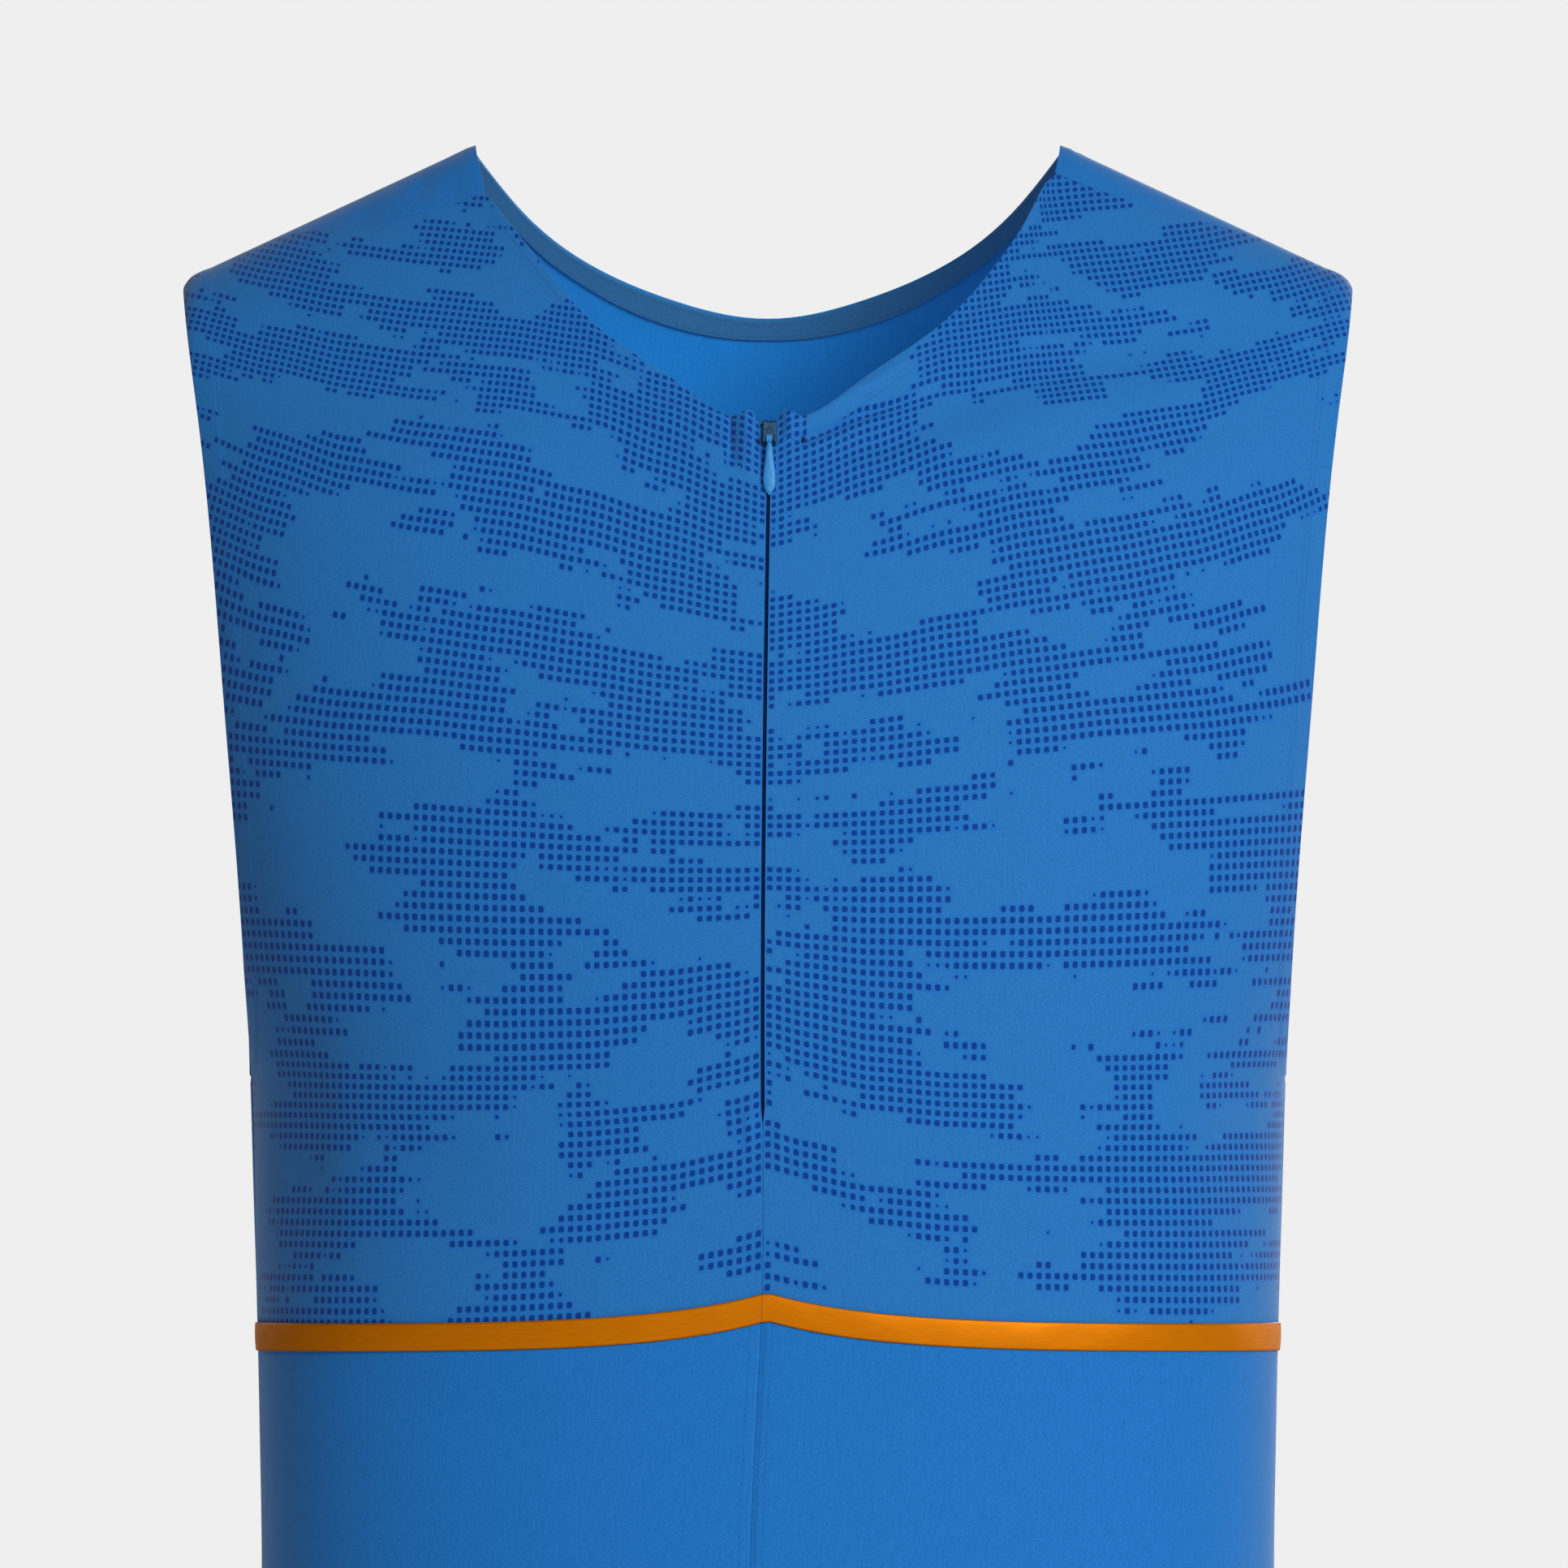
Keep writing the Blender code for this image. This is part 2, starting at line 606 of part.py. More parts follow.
def rod_mesh(radius, length, sides):
    """A rod along x."""
    mesh = bmesh.new()
    thick = radius * MM
    bmesh.ops.create_cone(
        mesh, cap_ends=True, segments=sides, radius1=thick, radius2=thick, depth=length * MM
    )
    bmesh.ops.rotate(mesh, verts=mesh.verts, matrix=Matrix.Rotation(math.pi / 2, 3, "Y"))
    return mesh


def combine(piece, tool, operation):
    """Join a hidden tool to a piece, or cut it away."""
    step = piece.modifiers.new(tool.name, "BOOLEAN")
    step.object = tool
    step.operation = operation
    tool.hide_render = True
    tool.display_type = "WIRE"


def zip_frame(collection):
    """Empties on the cloth under the slider's middle, and on the pull's pin."""
    x = CENTRE_X(ZIP_HEAD)
    lower = torso_point(FRONT, x, ZIP_HEAD - SLIDER_SIZE.z / 2)
    upper = torso_point(FRONT, x, ZIP_HEAD + SLIDER_SIZE.z / 2)
    head = bpy.data.objects.new("zip_head", None)
    head.location = Vector((lower + upper) / 2) * MM
    head.rotation_euler.x = -math.atan2(upper[1] - lower[1], upper[2] - lower[2])
    hinge = bpy.data.objects.new("pull_hinge", None)
    hinge.parent = head
    hinge.location.y = -(SEAM_GAP + SLIDER_SIZE.y + PIN_STANDS_OFF) * MM
    hinge.location.z = -LUG_BELOW_MIDDLE * MM
    hinge.rotation_euler.x = -math.radians(PULL_LEAN)
    for empty in (head, hinge):
        collection.objects.link(empty)
    return head, hinge


def build_slider(head, collection, tools, material):
    """Slider body with two lugs and the pin between them."""
    body = add_object("zip_slider", box_mesh(SLIDER_SIZE, SLIDER_EDGE), collection, material, head)
    body.location.y = -(SEAM_GAP + SLIDER_SIZE.y / 2) * MM
    lug_size = Vector((LUG_WIDTH, LUG_REACH + LUG_SUNK, LUG_HEIGHT))
    lug_x = EYE_WIDTH / 2 + SEAM_GAP + LUG_WIDTH / 2
    lug_y = -(SEAM_GAP + SLIDER_SIZE.y - LUG_SUNK + lug_size.y / 2)
    for side, label in ((LEFT, "left"), (RIGHT, "right")):
        lug = add_object(f"lug_{label}", box_mesh(lug_size, LUG_EDGE), tools, None, head)
        lug.location = Vector((side * lug_x, lug_y, -LUG_BELOW_MIDDLE)) * MM
        combine(body, lug, "UNION")
    pin = add_object("pin", rod_mesh(PIN_RADIUS, 2 * lug_x, ROD_SIDES), tools, None, head)
    pin.location.y = -(SEAM_GAP + SLIDER_SIZE.y + PIN_STANDS_OFF) * MM
    pin.location.z = -LUG_BELOW_MIDDLE * MM
    combine(body, pin, "UNION")


def drop_mesh():
    """The pull's drop: a sphere drawn out to the outline, flat from front to back."""
    width = Curve([row.share for row in PULL_OUTLINE], [row.half_width for row in PULL_OUTLINE])
    mesh = bmesh.new()
    bmesh.ops.create_uvsphere(mesh, u_segments=DROP_SIDES, v_segments=DROP_SIDES, radius=1)
    for vert in mesh.verts:
        ring = math.hypot(vert.co.x, vert.co.y)
        fullness = min(1, PULL_END_FULLNESS * ring) / ring if ring else 0
        share = (1 - vert.co.z) / 2
        spread = float(width(share)) * fullness
        thick = PULL_THICKNESS * fullness
        vert.co = Vector((vert.co.x * spread, vert.co.y * thick, -PULL_LENGTH * share)) * MM
    return mesh


def build_pull(hinge, collection, tools, material):
    """Pull tab: a bored eye on the slider's pin, and the drop below it."""
    pull = add_object("zip_pull", rod_mesh(EYE_RADIUS, EYE_WIDTH, EYE_SIDES), collection, material, hinge)
    drop = add_object("drop", drop_mesh(), tools, None, hinge)
    drop.location.z = -PULL_STARTS * MM
    combine(pull, drop, "UNION")
    bore = rod_mesh(EYE_BORE, EYE_WIDTH + 2 * BORE_RUNS_PAST, EYE_SIDES)
    combine(pull, add_object("bore", bore, tools, None, hinge), "DIFFERENCE")


def main():
    for thing in list(bpy.data.objects):
        bpy.data.objects.remove(thing)
    suit = bpy.data.collections.new("athletics_bodysuit")
    tools = bpy.data.collections.new("tools")
    for collection in (suit, tools):
        bpy.context.scene.collection.children.link(collection)

    printed = finish("printed knit", (0.035, 0.19, 0.62), 0.62)
    plain = finish("plain knit", (0.04, 0.20, 0.64), 0.62)
    facing = finish("facing knit", (0.05, 0.19, 0.52), 0.66)
    satin = finish("satin band", (0.85, 0.33, 0.005), 0.32)
    tape = finish("zip tape", (0.004, 0.02, 0.11), 0.7)
    steel = finish("slider metal", (0.32, 0.35, 0.38), 0.35, 1.0)
    lacquer = finish("pull tab", (0.05, 0.26, 0.66), 0.45)

    for side, label in ((LEFT, "left"), (RIGHT, "right")):
        add_object(f"front_panel_{label}", front_panel_mesh(side), suit, printed)
        add_object(f"waist_band_front_{label}", band_mesh(FRONT, side), suit, satin)
        add_object(f"shorts_front_{label}", shorts_mesh(FRONT, side), suit, plain)
        add_object(f"shorts_back_{label}", shorts_mesh(BACK, side), suit, plain)
        add_object(f"zip_tape_{label}", tape_mesh(side), suit, tape)
    add_object("back_panel", back_panel_mesh(), suit, plain)
    add_object("waist_band_back", band_mesh(BACK, LEFT), suit, satin)
    add_object("neck_facing", facing_mesh(), suit, facing)
    head, hinge = zip_frame(suit)
    build_slider(head, suit, tools, steel)
    build_pull(hinge, suit, tools, lacquer)


main()
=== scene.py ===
"""Looks of a sleeveless athletics bodysuit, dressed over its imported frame.

Tables and formulas are in millimetres and degrees, meshes in metres. The suit faces -Y, the wearer's
left is +X, and the origin is the middle of the neck opening. Every cloth piece is a stretch of one
worn form, so its neighbours meet it, and each has its own wall, creases, hems, knit and stitches.
"""

import logging
import math
from dataclasses import dataclass, field
from enum import Enum
from functools import partial
from typing import Callable, NamedTuple, Sequence

import bmesh
import bpy
import numpy as np
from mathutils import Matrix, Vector


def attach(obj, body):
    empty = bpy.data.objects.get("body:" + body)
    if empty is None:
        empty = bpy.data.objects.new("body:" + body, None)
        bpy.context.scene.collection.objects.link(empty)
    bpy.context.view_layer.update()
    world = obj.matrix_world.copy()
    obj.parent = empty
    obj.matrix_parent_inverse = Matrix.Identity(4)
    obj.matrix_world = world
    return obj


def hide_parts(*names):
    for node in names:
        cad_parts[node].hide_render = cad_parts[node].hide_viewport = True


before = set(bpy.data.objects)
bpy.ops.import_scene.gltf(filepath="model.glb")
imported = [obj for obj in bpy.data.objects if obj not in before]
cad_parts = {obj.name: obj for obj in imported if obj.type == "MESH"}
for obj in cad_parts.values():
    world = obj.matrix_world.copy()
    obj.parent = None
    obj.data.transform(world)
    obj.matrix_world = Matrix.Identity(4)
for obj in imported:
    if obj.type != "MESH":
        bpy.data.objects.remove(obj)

Array = np.ndarray
Socket = bpy.types.NodeSocket
Feed = Socket | float | tuple
MM = 0.001
RIGHT_ANGLE = 90.0
SETTLING_STEPS = 12
# How far over a drag line its ridge lies, and the ridge's share of the line's depth
RIDGE_RISE = 9.0
RIDGE_SHARE = 0.6
# The neck opening's share of the way out to the side, by angle
NECK_PART = 1 / 3
# A distance past every hem, and a share too small to matter
FAR = 99.0
SLACK = 1e-4
# Closer grid lines, as shares: beside a rounded side edge and beside the neckline
SIDE_LINES = (0.0012, 0.003, 0.006, 0.012, 0.02, 0.03)
NECK_LINES = (0.0006, 0.0016, 0.003, 0.006, 0.01)
# How far grid rows crowd toward the ends of the armhole
END_CROWDING = 0.65
# The armhole's turned hem and how far it stands proud, how far over the armhole's foot it ends, and
# its stitch rows from its edge
ARM_HEM = 10.0
ARM_HEM_LIFT = 0.28
ARMHOLE_ROUND = 2.0
ARM_ROWS = (7.6, 9.4)
# Turned hems: how wide their step is; sewn rows: how wide and deep they draw the cloth in
HEM_STEP = 1.6
STITCH_SPREAD = 1.3
SEAM_DEPTH = 0.5
# Shares of a stitch's pull that stay even and that come and go, and the mm over which those drift
EVEN_PULL = 0.7
GATHERED_PULL = 0.3
PULL_DRIFT = 17.0
# How nearly the wall's two sides meet at a rounded edge, and the least angle that is drawn sharp
EDGE_ROUND = 0.96
SHARP_ANGLE = 50.0
# Corners of a cube with bevelled edges
BEVELLED_CORNERS = 24
# The noise over which a cloud is printed, and how square its dots are, from 2 for round ones
CLOUD_LEVEL = 0.486
DOT_SQUARENESS = 3.6
# Waves a mm, across and up, of the clouds and of their ragged edges
CLOUD_WAVES = (0.0165, 0.037, 0.0)
RAGGED_WAVES = (0.043, 0.125, 0.0)
log = logging.getLogger("bodysuit")


class Face(Enum):
    """Which half of the body a cloth lies on; the value is its way along y."""

    FRONT = -1
    BACK = 1


class Side(Enum):
    """The wearer's left or right; the value is its way along x."""

    LEFT = 1
    RIGHT = -1


class Section(NamedTuple):
    """A level section of the worn form."""

    height: float
    half_width: float
    front: float
    back: float


@dataclass(frozen=True)
class Crease:
    """A soft trough, or a ridge where depth is negative, from one point to another seen square on."""

    face: Face
    x0: float
    z0: float
    x1: float
    z1: float
    half_width: float
    depth: float


def creases_of(face: Face, *rows: tuple[float, ...]) -> tuple[Crease, ...]:
    """Creases of one face; a row is x0, z0, x1, z1, half width and depth."""
    return tuple(Crease(face, *row) for row in rows)


class Spline:
    """A natural cubic spline through a short table, level beyond its ends."""

    def __init__(self, at: Sequence[float], value: Sequence[float]) -> None:
        """Solves the spline's bends.

        Args:
            at: where the values stand.
            value: the value at each.
        """
        order = np.argsort(at)
        self.at = np.array(at, float)[order]
        self.value = np.array(value, float)[order]
        step = np.diff(self.at)
        slope = np.diff(self.value) / step
        system = np.eye(len(self.at))
        right = np.zeros(len(self.at))
        for i in range(1, len(self.at) - 1):
            system[i, i - 1 : i + 2] = step[i - 1], 2 * (step[i - 1] + step[i]), step[i]
            right[i] = 6 * (slope[i] - slope[i - 1])
        self.bend = np.linalg.solve(system, right)

    def __call__(self, at: Array) -> Array:
        """Value at each place.

        Args:
            at: the places.

        Returns:
            The spline's values there.
        """
        at = np.clip(at, self.at[0], self.at[-1])
        i = np.clip(np.searchsorted(self.at, at) - 1, 0, len(self.at) - 2)
        step = self.at[i + 1] - self.at[i]
        low = (self.at[i + 1] - at) / step
        high = 1 - low
        bow = (low**3 - low) * self.bend[i] + (high**3 - high) * self.bend[i + 1]
        return low * self.value[i] + high * self.value[i + 1] + bow * step**2 / 6


def eased(share: Array) -> Array:
    """A share from 0 to 1 that starts and ends gently."""
    share = np.clip(share, 0, 1)
    return share**2 * (3 - 2 * share)


SECTIONS = (
    Section(0, 200.0, 44, 46),
    Section(-46, 200.0, 61, 68),
    Section(-93, 194.5, 81, 87),
    Section(-140, 189.5, 97, 99),
    Section(-190, 185.5, 106, 105),
    Section(-250, 180.7, 110, 103),
    Section(-313, 177.2, 106, 96),
    Section(-360, 175.8, 101, 90),
    Section(-402, 174.5, 97, 87),
    Section(-445, 173.6, 96.5, 90),
    Section(-486, 173.0, 98, 97),
    Section(-550, 175.0, 101, 110),
    Section(-615, 180.0, 102, 118),
    Section(-675, 183.0, 99, 115),
    Section(-715, 182.5, 95, 106),
    Section(-780, 177.0, 89, 94),
    Section(-880, 165.0, 80, 82),
)
# The front neckline, the back rim and the centre line, each point across and up
FRONT_NECKLINE = (
    (0, -101), (2.2, -97), (4.5, -92.4), (8, -91.6), (11, -92.6), (14, -92.2), (31, -81), (63, -57.5),
    (85, -31),
)
BACK_RIM = ((-32, -52.3), (0, -58.3), (32, -52.3), (57.7, -41.6), (84.6, -21), (100, -2.2))
CENTRE_LINE = ((0.6, -94), (-1.7, -334), (-1.9, -391), (-6.0, -486), (-2.0, -600), (0.0, -715))

# Height and, there, how far the print's rows and columns stand apart: the cloth is stretched less
# near the shoulders
PRINT_PITCH = (
    (-20, 2.30, 2.72),
    (-55, 2.42, 2.72),
    (-94, 2.52, 2.76),
    (-144, 2.68, 2.96),
    (-200, 2.86, 3.16),
    (-255, 3.03, 3.20),
    (-311, 3.25, 3.18),
    (-345, 3.70, 3.20),
    (-400, 3.86, 3.22),
)
# How far a row of the print has risen at each way out from the centre, at each height
ROW_WAYS = (0, 12, 34, 62, 90, 118, 145, 170, 200)
ROW_RISES = (
    (-20, (0, 2, 9, 20, 25, 27.5, 31, 36, 43)),
    (-55, (0, 3, 11, 21, 25.5, 28.5, 32.5, 37.5, 45)),
    (-94, (0, 5, 14, 23, 28, 31, 35, 42, 52)),
    (-144, (0, 2, 7, 13, 18, 22, 26.5, 32.5, 42)),
    (-200, (0, 1, 3, 6.2, 9, 11.5, 13, 15, 18)),
    (-255, (0, -0.6, -0.8, -0.6, 0, 0.8, 1.8, 2.6, 3.5)),
    (-311, (0, -3.5, -8.5, -11, -11.8, -11.6, -11, -10.6, -10)),
    (-345, (0, -3.5, -8.2, -10.8, -12, -12.4, -12.4, -12.2, -12)),
    (-400, (0, -2.6, -6.6, -9.6, -11.2, -12, -12.4, -12.4, -12)),
)

# The largest folds, which the frame's solids have too
MAIN_FOLDS = creases_of(
    Face.FRONT,
    (190, -60, 84, -78, 13, 2.4),
    (108, -72, 14, -106, 10, 2.6),
    (-188, -66, -78, -86, 14, 2.0),
    (-104, -78, -16, -108, 10, 2.2),
    (163, -286, 158, -392, 12, 2.0),
    (-166, -280, -158, -396, 13, 2.6),
    (24, -702, 128, -640, 12, 3.4),
    (-22, -700, -116, -650, 13, 3.0),
    (40, -742, 150, -716, 11, 2.4),
    (-36, -736, -138, -722, 10, 2.8),
) + creases_of(
    Face.BACK,
    (172, -84, 62, -158, 16, 2.6),
    (-174, -92, -70, -150, 15, 2.2),
    (160, -338, 34, -366, 13, 3.2),
    (-164, -352, -40, -372, 12, 2.8),
    (132, -432, -22, -440, 12, 2.4),
    (22, -704, 124, -728, 13, 3.6),
    (-20, -700, -132, -734, 13, 3.2),
)

# Finer creases on what the front shows, set round the main ones
FINE_CREASES = creases_of(
    Face.FRONT,
    (-4, -107.2, 56, -82.0, 1.7, 2.3),
    (30, -92.4, 98, -70.5, 3.2, 1.7),
    (7, -109, 62, -98, 2.6, 0.9),
    (-2, -103, 58, -68, 2.6, -1.1),
    (-13.6, -84, -12.0, -111, 1.0, 1.6),
    (-7.4, -80, -6.8, -116, 3.4, -2.6),
    (7.6, -80, 7.2, -109, 2.8, -2.1),
    (12.8, -86, 11.8, -104, 1.1, 0.6),
    (-34, -97, -16, -101, 1.8, 0.8),
    (-60, -84, -18, -112, 3.4, 0.8),
    (150, -60, 40, -96, 7, 1.7),
    (176, -92, 96, -108, 9, 1.4),
    (-150, -78, -44, -98, 7, 1.3),
    (-180, -110, -108, -120, 9, 1.3),
    (-115, -8, -120.5, -20, 2.2, 1.3),
    (-110, -9, -104.5, -20, 2.6, 1.0),
    (-134, -18, -140, -30, 3.4, 0.8),
    (-7, -322, -5, -348, 2.2, -0.7),
    (5, -326, 3, -352, 2.0, -0.6),
    (-20, -336, -2, -340, 1.6, 0.6),
    (18, -334, 0, -341, 1.8, 0.6),
    (-170, -330, -90, -352, 9, 0.9),
    (168, -340, 104, -358, 8, 0.7),
    (-160, -420, -60, -440, 10, 0.8),
    (162, -416, 84, -432, 9, 0.7),
)

# Drag lines of the hips, legs and back, each with a soft ridge along its upper side
DRAG_LINES = creases_of(
    Face.FRONT,
    (150, -560, 72, -600, 8, 1.4),
    (-148, -570, -84, -596, 7, 1.5),
    (12, -688, 88, -656, 4.5, 2.2),
    (-10, -692, -70, -668, 4.5, 2.0),
    (20, -724, 104, -720, 4.5, 2.1),
    (-24, -722, -92, -712, 4, 1.9),
    (62, -800, 146, -786, 7, 1.7),
    (-60, -812, -150, -792, 8, 1.8),
) + creases_of(
    Face.BACK,
    (150, -60, 66, -98, 5, 2.0),
    (-144, -52, -82, -94, 4.5, 1.9),
    (176, -128, 96, -176, 5, 2.4),
    (-172, -146, -100, -184, 5, 2.2),
    (124, -186, 20, -222, 7, 1.7),
    (-130, -178, -36, -204, 6, 1.8),
    (158, -290, 84, -334, 5.5, 2.2),
    (170, -326, 44, -382, 4.5, 3.0),
    (-160, -314, -12, -356, 5, 2.8),
    (96, -390, -66, -386, 3.8, 2.3),
    (-168, -418, -50, -452, 5, 2.8),
    (-124, -456, -6, -464, 4.5, 2.0),
    (168, -420, 58, -450, 5, 2.6),
    (66, -462, 4, -474, 4.5, 1.7),
    (4, -560, 6, -650, 4, 1.8),
    (14, -656, 92, -698, 4.5, 3.0),
    (-12, -664, -94, -706, 5, 2.8),
    (28, -738, 142, -762, 5.5, 2.6),
    (-30, -750, -146, -776, 5.5, 2.7),
    (60, -820, 152, -840, 7, 1.9),
    (-52, -838, -148, -818, 7, 2.0),
)


def through(points: tuple[tuple[float, ...], ...], at: int = 0, value: int = 1) -> Spline:
    """A field that is a spline through two columns of a table."""
    columns = tuple(zip(*points))
    return field(default_factory=lambda: Spline(columns[at], columns[value]))


@dataclass(frozen=True)
class BodyForm:
    """The worn form that all the cloth follows."""

    neck_point_x: float = 101.0
    shoulder_tip_x: float = 200.0
    shoulder_slope: float = 0.465
    shoulder_tip_radius: float = 5.0
    roll_drop: float = 110.0
    roll_length: float = 140.0
    armhole_top: float = -46.0
    armhole_bottom: float = -320.0
    armhole_half_depth: float = 52.0
    roundness: float = 2.3
    seam_gap: float = 0.12
    zip_bottom: float = -334.0
    zip_slit: float = 1.3
    slit_closes_over: float = 6.0
    waist: float = -406.8
    waist_peak: float = 11.0
    waist_peak_reach: float = 38.0
    hip_start: float = -500.0
    hip_end: float = -655.0
    fork_start: float = -600.0
    crotch: float = -715.0
    leg_hem: float = -880.0
    leg_parting: float = 17.0
    leg_parting_curve: float = 0.8
    seam_curve: float = 2.2
    neck_share: float = 0.5
    neck_lean: float = 3.2
    lean_reach: float = 12.0
    lean_fall: float = 14.0
    lean_spread: float = 22.0
    widest_edge: float = 0.95
    half_width: Spline = through(SECTIONS, 0, 1)
    front: Spline = through(SECTIONS, 0, 2)
    back: Spline = through(SECTIONS, 0, 3)
    centre: Spline = through(CENTRE_LINE, 1, 0)
    rim: Spline = through(BACK_RIM)

    def depth(self, face: Face, height: Array) -> Array:
        """Depth of front or back at each height."""
        return (self.front if face is Face.FRONT else self.back)(height)

    def ridge(self, x: Array) -> Array:
        """Top line of the shoulder, rounded off at the tip.

        Args:
            x: how far to either side.

        Returns:
            The line's height over each x.
        """
        x = np.abs(x)
        into_tip = np.clip((x - self.shoulder_tip_x) / self.shoulder_tip_radius + 1, 0, 1)
        rounding = self.shoulder_tip_radius * (1 - np.sqrt(1 - into_tip**2))
        return -self.shoulder_slope * (x - self.neck_point_x) - rounding

    def rolled(self, fall: Array) -> Array:
        """Share of the full depth left this far under the ridge."""
        return np.sqrt(1 - (1 - np.clip(fall / self.roll_drop, 0, 1)) ** 2)

    def drop_after(self, walked: Array) -> Array:
        """Height lost on a walk down the cloth.

        Args:
            walked: mm from the ridge, forward or back.

        Returns:
            How far under the ridge the walk ends.
        """
        walked = np.abs(walked)
        angle = np.radians(RIGHT_ANGLE * np.minimum(walked / self.roll_length, 1))
        return self.roll_drop * (1 - np.cos(angle)) + np.maximum(walked - self.roll_length, 0)

    def walk_to(self, height: Array, x: Array) -> Array:
        """How far down the cloth a height is reached.

        Args:
            height: the height.
            x: where, to either side.

        Returns:
            The walk from the ridge, in mm.
        """
        drop = np.maximum(self.ridge(x) - height, 0)
        angle = np.degrees(np.arccos(1 - np.minimum(drop / self.roll_drop, 1)))
        return self.roll_length * angle / RIGHT_ANGLE + np.maximum(drop - self.roll_drop, 0)

    def armhole_reach(self, height: Array) -> Array:
        """Half the armhole's opening, front to back.

        Args:
            height: the height.

        Returns:
            The half opening there, 0 above and under the armhole.
        """
        middle = (self.armhole_top + self.armhole_bottom) / 2
        share = (height - middle) / (self.armhole_top - middle)
        return self.armhole_half_depth * np.sqrt(np.maximum(1 - share**2, 0))

    def edge_share(self, face: Face, height: Array) -> Array:
        """Depth left at the outer edge, as a share of the centre's.

        Args:
            face: front or back.
            height: the height.

        Returns:
            The share, which keeps the armhole open.
        """
        height = np.minimum(height, self.armhole_top - 1)
        slope = self.shoulder_slope * (self.shoulder_tip_x - self.half_width(height))
        full = self.depth(face, height) * self.rolled(self.armhole_top - height + slope)
        return np.clip(self.armhole_reach(height) / full, 0, self.widest_edge)

    def torso(self, face: Face, x: Array, height: Array) -> Array:
        """Points of the outer surface over each x and height.

        Args:
            face: front or back.
            x: how far to the wearer's left.
            height: height over the origin.

        Returns:
            The points, along a last axis of x, y and z.
        """
        share = np.minimum(np.abs(x / self.half_width(height)), 1)
        edge = self.edge_share(face, height) ** self.roundness
        profile = (1 - (1 - edge) * share**self.roundness) ** (1 / self.roundness)
        depth = self.depth(face, height) * profile + self.seam_gap / 2
        return np.stack([x, face.value * depth * self.rolled(self.ridge(x) - height), height], axis=-1)

    def slit(self, height: Array) -> Array:
        """Half the gap between the two fronts."""
        blend = np.clip((self.zip_bottom - height) / self.slit_closes_over + 1, 0, 1)
        return (self.zip_slit * (1 - blend) + self.seam_gap * blend) / 2

    def across(self, face: Face, side: Side, angle: Array, height: Array) -> Array:
        """x at an angle from the centre, 0, to the side, 90.

        Args:
            face: front or back.
            side: the wearer's left or right.
            angle: the angle in degrees.
            height: the height.

        Returns:
            The x, which starts beside the zip's slit or the back's seam.
        """
        if face is Face.FRONT:
            start = self.centre(height) + side.value * self.slit(height)
        else:
            start = side.value * self.seam_gap / 2
        return start + (side.value * self.half_width(height) - start) * np.sin(np.radians(angle))

    def upper(self, side: Side | None, angle: Array, walked: Array) -> Array:
        """Points of the upper body.

        Args:
            side: the front that is meant, or None for the back with its wrap over the shoulders.
            angle: from the centre to the side.
            walked: down the cloth from the ridge, forward where it is above 0.

        Returns:
            The points.
        """
        height = np.full(np.shape(angle), self.armhole_top)
        for _ in range(SETTLING_STEPS):
            if side:
                x = self.across(Face.FRONT, side, angle, height)
            else:
                x = self.half_width(height) * np.sin(np.radians(angle))
            height = self.ridge(x) - self.drop_after(walked)
        ahead = self.torso(Face.FRONT, x, height)
        behind = self.torso(Face.BACK, x, height)
        near = np.exp(-(((np.abs(x) - self.neck_point_x) / self.lean_reach) ** 2))
        fall = np.clip((self.ridge(x) - height) / self.lean_fall, 0, 1)
        fall = fall * np.exp(-(((height + self.lean_fall) / self.lean_spread) ** 2))
        ahead[..., 0] -= np.sign(x) * self.neck_lean * near * fall
        return np.where((walked >= 0)[..., None], ahead, behind)

    def lower(self, face: Face, side: Side, angle: Array, height: Array) -> Array:
        """Points of one quarter of the shorts, whose hips part into two legs.

        Args:
            face: front or back.
            side: the wearer's left or right.
            angle: from the middle seam to the side seam.
            height: the height.

        Returns:
            The points.
        """
        fork_share = np.clip((self.fork_start - height) / (self.fork_start - self.crotch), 0, 1)
        fork = np.sqrt(1 - fork_share**2)
        below = np.clip((self.crotch - height) / (self.crotch - self.leg_hem), 0, 1)
        inner = self.seam_gap / 2 + self.leg_parting * below**self.leg_parting_curve
        outer = self.half_width(height)
        turn = np.radians(2 * angle)
        x = side.value * ((outer + inner) / 2 - (outer - inner) / 2 * np.cos(turn))
        inner_half = angle < RIGHT_ANGLE / 2
        share = np.where(inner_half, fork + (1 - fork) * np.sin(turn), np.sin(turn))
        y = face.value * (self.depth(face, height) * share + self.seam_gap / 2)
        lobes = np.stack([x, y, height], axis=-1)
        body = self.torso(face, self.across(face, side, angle, height), height)
        blend = eased((self.hip_start - height) / (self.hip_start - self.hip_end))[..., None]
        return body * (1 - blend) + lobes * blend

    def waist_line(self, face: Face, x: Array) -> Array:
        """Height of the waist seam, with its peak at centre front."""
        peak = self.waist_peak * np.exp(-np.abs(x) / self.waist_peak_reach)
        return self.waist + (peak if face is Face.FRONT else 0 * peak)

    def back_rim(self, angle: Array) -> tuple[Array, Array]:
        """x at an angle from the centre, and the walk there from the ridge back to the neck rim."""
        x = self.shoulder_tip_x * np.sin(np.radians(angle))
        return x, -self.walk_to(self.rim(np.abs(x)), x)

